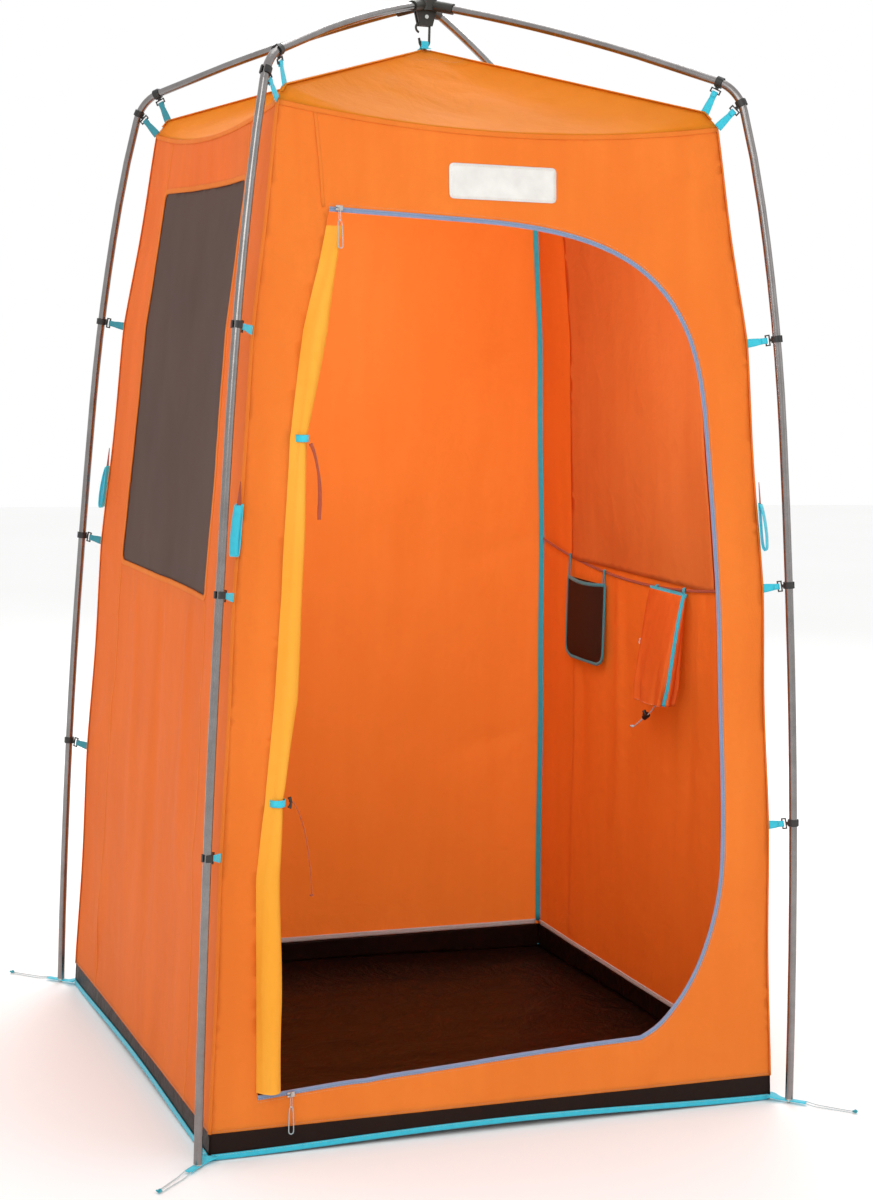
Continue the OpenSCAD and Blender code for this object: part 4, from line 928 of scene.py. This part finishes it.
# a rolled sheet: rows along the roll, each a spiral from the core out to the roll's own radius
def rolledSheet(name, centres, radii, turns, material, axes, lobes, seed, perTurn=18, seam=None):
    rolled, extra = turns * perTurn + 1, 6 if seam else 0
    columns = rolled + extra
    verts, uvs = [], []
    run = 0
    for row, (centre, radius) in enumerate(zip(centres, radii)):
        if row:
            run += np.linalg.norm(np.array(centre) - np.array(centres[row - 1]))
        core = 0.12 * radius
        arc, last = 0.0, None
        for k in range(columns):
            share = min(1, k / (rolled - 1))
            a = 2 * math.pi * turns * share + seed
            r = core + (radius - core) * share
            lobe = 1 - lobes * share * (0.5 + 0.5 * math.sin(3 * a + 2.2 * math.sin(row * 0.045 + seed)))
            lobe -= 0.5 * lobes * share * (0.5 + 0.5 * math.sin(7 * a + row * 0.08))
            p = np.array(centre) + axes[0] * (r * lobe * math.cos(a)) + axes[1] * (r * lobe * math.sin(a))
            if k >= rolled:
                t = (k - rolled + 1) / extra
                p = p * (1 - t) + seam[row] * t
            if last is not None:
                arc += np.linalg.norm(p - last)
            last = p
            verts.append(p)
            uvs.append((arc, run))
    return meshObject(name, verts, gridFaces(len(centres), columns), uvs, [material])


def makeWindows():
    grow = window["seam"] * 0.6
    for side in ("left", "right"):
        mesh = sheetOnWall(side + "WindowMesh", side, windowLoop(grow), [], windowKnit, -1.6 * mm, 14 * mm, 0.4 * mm)
        settle(mesh, replaces=[side + "_mesh"])
    panel = sheetOnWall("rightPrivacyPanel", "right", windowLoop(privacy["panelGrow"]), [], litPrivacyCloth, -4.2 * mm,
                        14 * mm, 0.5 * mm)
    settle(panel, replaces=["right_privacy_panel"])
    reachIn = float(reach(privacy["rollHeight"])) - 4 * mm - privacy["rollRadius"] - 13 * mm
    ys = np.linspace(-privacy["rollHalf"], privacy["rollHalf"], 60)
    centres = [(-reachIn, y, privacy["rollHeight"] - 3 * mm * math.cos(5 * y)) for y in ys]
    radii = [privacy["rollRadius"] * (0.97 - 0.12 * math.exp(-((abs(y) - 0.2) / 0.012) ** 2)) for y in ys]
    roll = rolledSheet("leftPrivacyRoll", centres, radii, privacy["turns"], litPrivacyCloth,
                       (np.array((1.0, 0, 0)), np.array((0, 0, 1.0))), 0.05, 0.6)
    settle(roll, replaces=["left_privacy_roll"])
    ties = []
    for y in (-0.2, 0.2):
        ring = [(-reachIn + 17.5 * mm * math.cos(a), y, privacy["rollHeight"] - 3 * mm * math.cos(5 * y)
                 + 17.5 * mm * math.sin(a)) for a in circle(32)]
        outs = [(math.cos(a), 0, math.sin(a)) for a in circle(32)]
        ties.append(sweep(ring, outs, flatProfile(12 * mm, 1.0 * mm), loop=True))
    settle(joinParts("privacyTies", ties, [rustTape]))


makeWindows()
print("windows made")


# ---- the rolled door, its zip and ties ----
door = {
    "heights": [1.698, 1.512, 1.317, 1.133, 0.843, 0.655, 0.515, 0.288, 0.121],
    "radii": [11, 22, 11, 16.5, 22, 13.2, 22, 26.4, 24.2],
    "inset": 27.5 * mm, "headBack": 11 * mm, "shift": 4 * mm, "turns": 8,
    "tieRows": [(1.317, 11), (0.655, 13.2)], "tieHigh": 13 * mm,
    "tape": 8 * mm,
}
tooth = {"Tooth pitch": 1.5 * mm, "Tooth width": 4.6 * mm, "Tooth height": 1.6 * mm, "Fill": 0.72}


def hingeAt(z):
    return np.interp(z, [p[1] for p in doorHinge[::-1]], [p[0] for p in doorHinge[::-1]])


def rollCentre(z):
    heights = door["heights"][::-1]
    xs = [float(hingeAt(h)) + door["inset"] for h in heights]
    ys = [-float(reach(h)) + 1 * mm for h in heights]
    ys[-1] = -float(reach(heights[-1])) + 1 * mm + door["headBack"]
    return np.array((float(np.interp(z, heights, xs)), float(np.interp(z, heights, ys)), z)) - (door["shift"], 0, 0)


def makeDoor():
    zs = np.linspace(door["heights"][0] + 4 * mm, door["heights"][-1] - 2 * mm, 150)
    base = np.interp(zs, door["heights"][::-1], [r * mm for r in door["radii"][::-1]])
    radii = []
    for z, r in zip(zs, base):
        waist = sum(math.exp(-((z - h) / 0.02) ** 2) for h, _ in door["tieRows"])
        radii.append((r - 0.6 * mm) * (1 - 0.06 * waist + 0.03 * math.sin(z * 23) * (1 - min(1, waist))))
    seam = list(wallPoint("front", hingeAt(zs) - 4 * mm, zs, -1.2 * mm))
    roll = rolledSheet("rolledDoor", [rollCentre(z) for z in zs], radii, door["turns"], facingCloth,
                       (np.array((1.0, 0, 0)), np.array((0, -1.0, 0))), 0.10, 2.5, seam=seam)
    settle(roll, replaces=["door_roll"])
    bands, band = [], flatProfile(door["tieHigh"], 1.1 * mm)
    for z, r in door["tieRows"]:
        centre, angles = rollCentre(z), circle(40)
        ring = [centre + np.array(((r + 1.6) * mm * math.cos(a), (r + 1.6) * mm * math.sin(a), 0)) for a in angles]
        bands.append(sweep(ring, [(math.cos(a), math.sin(a), 0) for a in angles], band, loop=True))
        hinge = np.array(wallPoint("front", centre[0] - door["inset"] - 6 * mm, z, -3 * mm)[0])
        start = centre + np.array((-(r + 1.6) * mm * 0.3, (r + 1.6) * mm * 0.95, 0))
        tail = smoothLine([start, (start + hinge) / 2 + (0, 1.5 * mm, 0), hinge], 3 * mm)
        bands.append(sweep(tail, (0.2, 1, 0), band))
    # the toggle on the lower tie: a small waisted bar through a loop
    centre = rollCentre(door["tieRows"][1][0]) + (door["shift"] + 17.5 * mm, -6 * mm, 0)
    line = [centre + np.array((0.003 * math.sin(k / 8 * math.pi), 0, (k / 8 - 0.5) * 0.02)) for k in range(9)]
    scales = [(0.6 + 0.5 * abs(k / 4 - 1),) * 2 for k in range(9)]
    settle(joinParts("doorTies", bands, [cyanWebbing]), replaces=["door_ties"])
    settle(joinParts("tieToggle", [sweep(line, (0, -1, 0), roundProfile(3.4 * mm, 12), scales)], [blackNylon]))
    tapeRow = beside(doorEdge, door["tape"] / 2 + 0.5 * mm)
    tape = joinParts("zipTape", [stripOnWall("front", tapeRow, door["tape"], 0.7 * mm, 0.9 * mm, 6 * mm)], [zipCloth])
    settle(tape, replaces=["door_zip_tape"])
    coil = wallLine("front", beside(doorEdge, 1.4 * mm), 1.8 * mm, 5 * mm)
    repeatAlong("zipTeeth", [coil], coilNylon, tooth, toothPitch, toothCopy)
    sewRows("zipStitches", [list(wallLine("front", beside(doorEdge, door["tape"] - 1 * mm), 1.5 * mm, 12 * mm)),
                            list(wallLine("front", beside(doorEdge, door["tape"] + 5 * mm), 0.8 * mm, 12 * mm))],
            threadWhite)


def beside(line, out):
    # a line parallel to the door's edge, outside the opening
    pts = np.array(resample(line, 10 * mm, False))
    ahead = np.gradient(pts, axis=0)
    ahead /= np.linalg.norm(ahead, axis=1)[:, None]
    return list(pts + np.stack([-ahead[:, 1], ahead[:, 0]], axis=1) * out)


# the zip's coil: one small rounded tooth after another, set across the line
def toothPitch(tree, start):
    return start["Tooth pitch"]


def toothCopy(tree, start, tangent):
    shape = addNode(tree, "GeometryNodeMeshCylinder", {"Vertices": 6, "Radius": 0.5, "Depth": 1.0}).outputs["Mesh"]
    turned = addNode(tree, "FunctionNodeAlignRotationToVector", {"Vector": tangent}, axis="X").outputs["Rotation"]
    facing = addNode(tree, "FunctionNodeAlignRotationToVector", {"Rotation": turned, "Vector": (0, -1, 0.08)},
                     axis="Y", pivot_axis="X").outputs["Rotation"]
    along = addNode(tree, "ShaderNodeMath", {0: start["Tooth pitch"], 1: start["Fill"]}, operation="MULTIPLY")
    return shape, facing, (along.outputs[0], start["Tooth height"], start["Tooth width"])


makeDoor()
print("door rolled")


# ---- patch, gear line and pockets ----
patch = {"middle": (-0.006, 1.795), "half": (0.1085, 0.033), "corner": 10 * mm}
gear = {"x": 0.5317, "height": 1.032, "sag": 48 * mm, "half": 0.520, "thick": 6 * mm}
pouch = {"y": (0.162, 0.362), "z": (0.7717, 0.9567), "front": 16 * mm, "strap": 12 * mm}
bag = {"y": (-0.245, -0.075), "top": 0.9845, "deep": 0.243, "mouth": 14 * mm, "foot": 62 * mm, "gathers": 9}


def gearHeight(y):
    return gear["height"] - gear["sag"] * (1 - (y / gear["half"]) ** 2)


def makePatch():
    (cx, cz), (hx, hz) = patch["middle"], patch["half"]
    corners = [(cx - hx, cz - hz), (cx + hx, cz - hz), (cx + hx, cz + hz), (cx - hx, cz + hz)]
    tree = newMaterial("wovenSilverPatch")   # a tight satin weave with a soft shine
    place = objectPlace(tree)
    satin = addNode(tree, "ShaderNodeTexWave", {"Vector": place, "Scale": 260, "Distortion": 1.5},
                    bands_direction="Z").outputs["Fac"]
    shade = mixColour(tree, ramp(tree, noiseNode(tree, place, 30, 4), 0, 1), hexColour("e6e3de"), hexColour("d8d4cf"))
    material = closeMaterial(tree, surfaceNode(tree, shade, 0.4, bumpNode(tree, satin, 0.3, 0.4 * mm), metallic=0.25))
    piece = sheetOnWall("frontPatch", "front", roundedLoop(corners, patch["corner"]), [], material, 1.2 * mm, 8 * mm,
                        0.9 * mm)
    settle(piece, replaces=["front_patch"])
    inner = roundedLoop([(x + math.copysign(4 * mm, cx - x), z + math.copysign(4 * mm, cz - z)) for x, z in corners],
                        patch["corner"] - 3 * mm)
    sewRows("patchStitches", [list(wallLine("front", inner + inner[:1], 2.0 * mm, 8 * mm))], threadWhite)


def makeGearLine():
    ys = np.linspace(-gear["half"], gear["half"], 70)
    line = [(gear["x"] + 0.8 * mm, y, gearHeight(y) - gear["thick"] / 2) for y in ys]
    piece = joinParts("gearLine", [sweep(line, (-1, 0, 0), flatProfile(gear["thick"], 1.4 * mm, 2, 0.3 * mm))],
                      [rustTape])
    settle(piece, replaces=["gear_line"])


def makePouch():
    (y0, y1), (z0, z1) = pouch["y"], pouch["z"]
    back = gear["x"] - 0.4 * mm
    cy, half, corner = (y0 + y1) / 2, (y1 - y0) / 2, 30 * mm
    columns, rows = 26, 24

    def face(front):
        verts, uvs = [], []
        for j in range(rows + 1):
            v = j / rows
            z = z0 + (z1 - z0) * v
            narrow = corner * (1 - math.sqrt(max(0, 1 - max(0, 1 - (z - z0) / corner) ** 2)))
            for i in range(columns + 1):
                u = 2 * i / columns - 1
                y = cy + u * (half - narrow)
                puff = (1 - u ** 4) * min(1, v * 5 + 0.02) * (0.75 + 0.25 * math.sin(3 * u + 2))
                depth = 2 * mm + (pouch["front"] - 3 * mm) * puff if front else 1 * mm
                dip = 5 * mm * (1 - u * u) * v ** 6 if front else 0
                verts.append((back - depth, y, z - dip))
                uvs.append((y, z))
        return verts, [quad[::-1] if front else quad for quad in gridFaces(rows + 1, columns + 1)], uvs

    shells = [face(True), face(False)]
    piece = joinParts("meshPocket", shells, [pocketKnit])
    thicken(piece, 0.5 * mm)
    settle(piece, "mesh_pocket", ["mesh_pocket"])
    front = shells[0][0]
    left = [front[j * (columns + 1)] for j in range(rows, -1, -1)]
    foot = [front[i] for i in range(columns + 1)]
    right = [front[j * (columns + 1) + columns] for j in range(rows + 1)]
    top = [front[rows * (columns + 1) + i] for i in range(columns + 1)]
    rim = [np.array(p) + (0.4 * mm, 0, 0) for p in left + foot[1:] + right[1:]]
    parts = [sweep(smoothLine(rim, 4 * mm), (-1, 0, 0), flatProfile(7 * mm, 3.0 * mm, 2, 0.6 * mm)),
             sweep(smoothLine(top, 5 * mm), (-1, 0, 0), flatProfile(8 * mm, 2.0 * mm, 2, 0.5 * mm))]
    for y in (y0 + 6 * mm, y1 - 6 * mm):
        high = gearHeight(y)
        loop = [(back - 1.6 * mm, y, z1 - 12 * mm), (back - 2.6 * mm, y, z1 + 6 * mm),
                (back - 2.0 * mm, y, high - 8 * mm), (back - 2.4 * mm, y, high + 0.5 * mm),
                (back + 0.9 * mm, y, high + 2.6 * mm)]
        parts.append(sweep(smoothLine(loop, 3 * mm), (-1, 0, 0.1), flatProfile(pouch["strap"] * 0.8, 1.2 * mm)))
    settle(joinParts("pocketBinding", parts, [tealWebbing]), "mesh_pocket")


def makeBag():
    (y0, y1), back = bag["y"], gear["x"] - 0.4 * mm
    rows, around = 46, 110
    cy, wide = (y0 + y1) / 2, (y1 - y0) / 2 - 2 * mm
    top = bag["top"] - 4 * mm   # just under the line, so that the bag swings clear of it
    verts, uvs = [], []
    for j in range(rows + 1):
        v = j / rows   # 0 at the mouth, 1 at the hem
        z = top - (bag["deep"] - 4 * mm) * v
        deep = (bag["mouth"] + (bag["foot"] - bag["mouth"]) * v ** 0.8) / 2 - 1.5 * mm
        tight = 1 - 0.10 * smoothStep((v - 0.8) / 0.2)
        for k in range(around):
            a = 2 * math.pi * k / around
            cosA, sinA = math.cos(a), math.sin(a)
            pleat = 1 - (0.04 + 0.22 * v ** 2) * (0.5 + 0.5 * math.sin(bag["gathers"] * a + 1.5 * math.sin(2.5 * v)))
            pleat -= 0.035 * (0.5 + 0.5 * math.sin(23 * a + 4 * v)) * v
            x = math.copysign(abs(cosA) ** 0.7, cosA) * deep * pleat * tight
            y = math.copysign(abs(sinA) ** 0.6, sinA) * wide * (1 - 0.5 * (1 - pleat)) * tight
            sag = 5 * mm * v * math.cos(a - 2.4) + 4 * mm * noise.noise(Vector((cosA, sinA, v * 3)))
            verts.append((back - deep - 0.8 * mm + x, cy + y, max(z - sag * v, bag["top"] - bag["deep"] + 1 * mm)))
            uvs.append((a * (wide + deep) / math.pi * 1.3, bag["deep"] * v))
    faces = gridFaces(rows + 1, around, True, True)
    low = rows * around
    middle = np.mean([verts[low + k] for k in range(around)], axis=0)
    verts.append(tuple(middle + (0, 0, 16 * mm)))
    uvs.append((0, 0))
    faces.extend([low + (k + 1) % around, low + k, len(verts) - 1] for k in range(around))
    piece = meshObject("hangingBag", verts, faces, uvs, [bagCloth])
    thicken(piece, 0.6 * mm)
    settle(piece, "bag", ["bag_pocket"])
    rim = [np.array(verts[k]) for k in range(around)]
    hem = [np.array(verts[low + k]) + (0, 0, 1.4 * mm) for k in range(around)]
    parts = [sweep(rim, [(math.cos(a), math.sin(a), 0) for a in circle(around)], flatProfile(7 * mm, 1.4 * mm, 2),
                   loop=True)]
    edge = [np.array(verts[j * around + int(around * 0.70)]) + (-1.0 * mm, -0.6 * mm, 0)
            for j in range(0, rows + 1, 2)]
    parts.append(sweep(smoothLine(edge, 5 * mm), (-0.8, -0.6, 0), flatProfile(8 * mm, 1.4 * mm)))
    settle(joinParts("bagBinding", parts, [cyanBinding]), "bag")
    for y in (y0 + 22 * mm, y1 - 22 * mm):
        loop = [(back - 1.4 * mm, y, bag["top"] - 14 * mm), (back - 2.6 * mm, y, bag["top"] + 2 * mm),
                (back - 2.4 * mm, y, gearHeight(y) + 0.5 * mm), (back + 0.9 * mm, y, gearHeight(y) + 2.6 * mm)]
        ribbon = sweep(smoothLine(loop, 3 * mm), (-1, 0, 0.1), flatProfile(10 * mm, 1.2 * mm))
        piece = joinParts("bagStrap_%d" % round(abs(y) * 1000), [ribbon], [cyanBinding])
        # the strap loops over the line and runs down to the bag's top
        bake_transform(piece)
    # a small white ladder buckle on the bag's left strap
    spot = np.array((back - bag["foot"] * 0.52, y1 - 16 * mm, bag["top"] - 0.12))
    ring = [spot + np.array((0.6 * mm * math.cos(2 * a), 8 * mm * math.cos(a), 5.5 * mm * math.sin(a)))
            for a in circle(28)]
    bar = [spot + np.array((0, y, 0)) for y in np.linspace(-7 * mm, 7 * mm, 5)]
    settle(joinParts("bagBuckle", [sweep(ring, (-1, 0, 0), roundProfile(1.2 * mm, 8), loop=True),
                                   sweep(bar, (-1, 0, 0), roundProfile(1.1 * mm, 8))], [whiteNylon]), "bag")
    sewRows("bagStitches", [hem + hem[:1]], threadWhite, "bag")


makePatch()
makeGearLine()
makePouch()
makeBag()
print("patch, line and pockets hung")


# ---- webbing: tabs, corner loops, ground straps and peak loop ----
clipStations = [(0.84507, 0.5697), (0.81455, 1.0407), (0.76850, 1.5184), (0.67725, 1.9692), (0.63223, 2.0103)]
strap = {"thick": 1.5 * mm, "guyTop": 1.195, "guyLean": 6.5, "footReach": 0.86267, "strapWide": 14 * mm,
         "strapEnd": 0.8977}


def onLeg(corner, r, z, sideways=0.0):
    a = math.radians(legs[corner])
    return np.array((r * math.cos(a) - sideways * math.sin(a), r * math.sin(a) + sideways * math.cos(a), z))


def makeTabs():
    root2 = math.sqrt(2)
    for corner in legs:
        parts = []
        for k, (r, z) in enumerate(clipStations):
            if k < 4:
                height = cabin["heights"][min(k + 1, 4)]
                end = (float(reach(height)) * root2, height)
            else:
                end = cabin["ridge"]
            start, end = np.array((r, z)), np.array(end)
            run = end - start
            size = np.linalg.norm(run)
            run /= size
            # out over the clip's bar, through its slot and back under it
            path = [(30, -1.5), (26, -2.1), (22.6, -2.1), (20.2, -1.1), (19.3, 0), (20.2, 1.1), (22.6, 2.1),
                    (26, 2.1), (30, 1.2), (35, 0.5), (size / mm - 0.5, 0)]
            line = smoothLine([onLeg(corner, *(start + run * along * mm), out * mm) for along, out in path], 2.5 * mm)
            ups = upsAround(line, -onLeg(corner, -run[1], run[0]))
            wide = [(0.88 + 0.42 * smoothStep((t - 0.35) / 0.65), 1) for t in np.linspace(0, 1, len(line))]
            parts.append(sweep(line, ups, flatProfile(13 * mm, 1.2 * mm), wide))
        piece = joinParts("tabStraps_" + corner, parts, [cyanWebbing if "front" in corner else tealWebbing])
        settle(piece, replaces=["tabs_" + corner])


def makeCornerLoops():
    root2 = math.sqrt(2)
    top = float(reach(strap["guyTop"])) * root2 + 3 * mm
    lean = math.radians(strap["guyLean"])
    for corner in legs:
        path = [(1.4, 4), (1.2, -10), (1.3, -40), (1.6, -70), (4, -87), (7.5, -91), (10.4, -85), (11.4, -60),
                (9.6, -32), (6.4, -10), (3.6, 1)]
        line = []
        for out, down in path:
            x, z = out * mm, down * mm
            line.append(onLeg(corner, top + x * math.cos(lean) - z * math.sin(lean),
                              strap["guyTop"] + z * math.cos(lean) + x * math.sin(lean)))
        line = smoothLine(line, 4 * mm)
        ups = upsAround(line, onLeg(corner, 0, 0, 1.0))
        loop = joinParts("cornerLoop_" + corner, [sweep(line, ups, flatProfile(17 * mm, strap["thick"]))],
                         [cyanWebbing])
        settle(loop, "guy_loop_" + corner, ["guy_loop_" + corner])
        stay = [onLeg(corner, top - 2.2 * mm + 5 * mm * t, strap["guyTop"] + 44 * mm - 46 * mm * t)
                for t in np.linspace(0, 1, 8)]
        settle(joinParts("loopStay_" + corner, [sweep(stay, onLeg(corner, 1, 0.1), flatProfile(9 * mm, 1.2 * mm),
                                                      [(0.15 + 0.85 * t, 1) for t in np.linspace(0, 1, 8)])],
                         [rustTape]))


def makeGroundStraps():
    parts, rings = [], []
    inner = float(reach(0.0055)) * math.sqrt(2) - 4 * mm
    for corner in legs:
        path = [(inner, 9.5), (inner + 10 * mm, 9), (inner + 20 * mm, 6.6), (strap["footReach"] - 12 * mm, 5.4),
                (strap["footReach"], 5.4), (strap["footReach"] + 18 * mm, 5.4), (strap["strapEnd"], 5.4)]
        line = smoothLine([onLeg(corner, r, z * mm) for r, z in path], 4 * mm)
        wide = [(2.4 - 1.4 * smoothStep(t / 0.45), 1) for t in np.linspace(0, 1, len(line))]
        parts.append(sweep(line, (0, 0, 1), flatProfile(strap["strapWide"], 2.0 * mm, 6), wide))
        foot = onLeg(corner, strap["footReach"], 6.6 * mm)
        for high in (0, -2.6 * mm):
            ring = [foot + np.array((6 * mm * math.cos(a), 6 * mm * math.sin(a), high)) for a in circle(32)]
            rings.append(sweep(ring, (0, 0, 1), roundProfile(1.5 * mm, 8), loop=True))
    settle(joinParts("groundStraps", parts, [cyanWebbing]), replaces=["ground_straps"])
    settle(joinParts("strapEyelets", rings, [bareMetal]))


def makePeakLoop():
    # the webbing loop at the roof's peak, which the wire hook passes through
    low, high, half = cabin["peak"] + 3 * mm, cabin["peak"] + 18.5 * mm, 4.2 * mm
    path = [(-half - 16 * mm, low - 0.5 * mm), (-half - 5 * mm, low + 0.6 * mm), (-half, low + 3 * mm),
            (-half + 0.3 * mm, high - 5 * mm), (-half * 0.5, high - 0.4 * mm), (0, high + 0.6 * mm),
            (half * 0.5, high - 0.4 * mm), (half - 0.3 * mm, high - 5 * mm), (half, low + 3 * mm),
            (half + 5 * mm, low + 0.6 * mm), (half + 16 * mm, low - 0.5 * mm)]
    line = smoothLine([(0, y, z) for y, z in path], 1.6 * mm)
    ups = upsAround(line, (1, 0, 0))
    loop = joinParts("peakLoop", [sweep(line, ups, flatProfile(16 * mm, 1.4 * mm, 8))], [cyanWebbing])
    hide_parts("peak_loop")
    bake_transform(loop)


makeTabs()
makeCornerLoops()
makeGroundStraps()
makePeakLoop()
print("webbing sewn on")


# ---- finishes for the frame's hard pieces ----
def finishNodes():
    finishes = [
        (["hub_body"], hubNylon, 0.7 * mm),
        (["hub_hook"], hookMetal, 0), (["hub_pin"], bareMetal, 0),
        (["roof_arms", "shoulder_bends", "leg_tops", "leg_uppers", "leg_lowers", "leg_feet"], poleMetal, 0),
        (["pole_ferrules", "foot_tips", "slider_top", "slider_sill", "pull_top", "pull_sill"], bareMetal, 0),
        (["shock_cords"], elasticCord, 0), (["lock_body"], blackNylon, 0.4 * mm),
        (["lock_button"], buttonNylon, 0.3 * mm),
        (["clips_" + corner for corner in legs], blackNylon, 0.35 * mm),
    ]
    for names, material, soften in finishes:
        for name in names:
            piece = nodes[name]
            for slot in piece.material_slots:
                slot.material = material
            if not piece.material_slots:
                piece.data.materials.append(material)
            if soften:
                edge = piece.modifiers.new("edge", "BEVEL")
                edge.width, edge.segments = soften, 2
                edge.limit_method, edge.angle_limit = "ANGLE", math.radians(50)


finishNodes()
print("frame finished")


# ---- floor and light ----
lights = {
    "sky": 1.0, "floorHalf": 14,
    "lamps": [("keyLight", (-2.6, -4.6, 3.6), (0, 0, 1.0), 3.2, 70),
              ("fillLight", (3.4, -3.6, 2.4), (0, 0, 0.9), 3.0, 10),
              ("topLight", (0.5, 0.5, 4.8), (0, 0, 1.5), 2.5, 25),
              ("backLight", (1.6, 3.8, 4.2), (0, 0, 1.1), 3.0, 110),
              ("cabinLight", (-0.12, -0.40, 1.62), (0.12, 0.56, 1.15), 0.6, 5.5)],
}


def makeStage():
    half = lights["floorHalf"]
    corners = [(-half, -half, 0), (half, -half, 0), (half, half, 0), (-half, half, 0)]
    floor = meshObject("studioFloor", corners, [[0, 1, 2, 3]], [(0, 0), (1, 0), (1, 1), (0, 1)], [])
    tree = newMaterial("paintedStudioFloor")
    shade = mixColour(tree, noiseNode(tree, objectPlace(tree), 0.7, 2), hexColour("fbfbfb"), hexColour("f6f6f5"))
    paint = addNode(tree, "ShaderNodeBsdfPrincipled", {"Base Color": shade, "Roughness": 0.8})
    material = closeMaterial(tree, paint.outputs["BSDF"])
    floor.data.materials.append(material)
    floor.location.z = -0.0005
    world = bpy.data.worlds.new("studioWorld")
    world.use_nodes = True
    world.node_tree.nodes["Background"].inputs["Color"].default_value = (1, 1, 1, 1)
    world.node_tree.nodes["Background"].inputs["Strength"].default_value = lights["sky"]
    scene = bpy.context.scene
    scene.world = world
    scene.view_settings.view_transform = "Standard"
    scene.view_settings.look = "None"
    for lampName, place, target, size, power in lights["lamps"]:
        data = bpy.data.lights.new(lampName, "AREA")
        data.shape, data.size, data.energy = "DISK", size, power
        lamp = bpy.data.objects.new(lampName, data)
        lamp.location = place
        lamp.visible_camera = False
        lamp.rotation_euler = (Vector(target) - Vector(place)).to_track_quat("-Z", "Y").to_euler()
        scene.collection.objects.link(lamp)


makeStage()
print("stage lit")
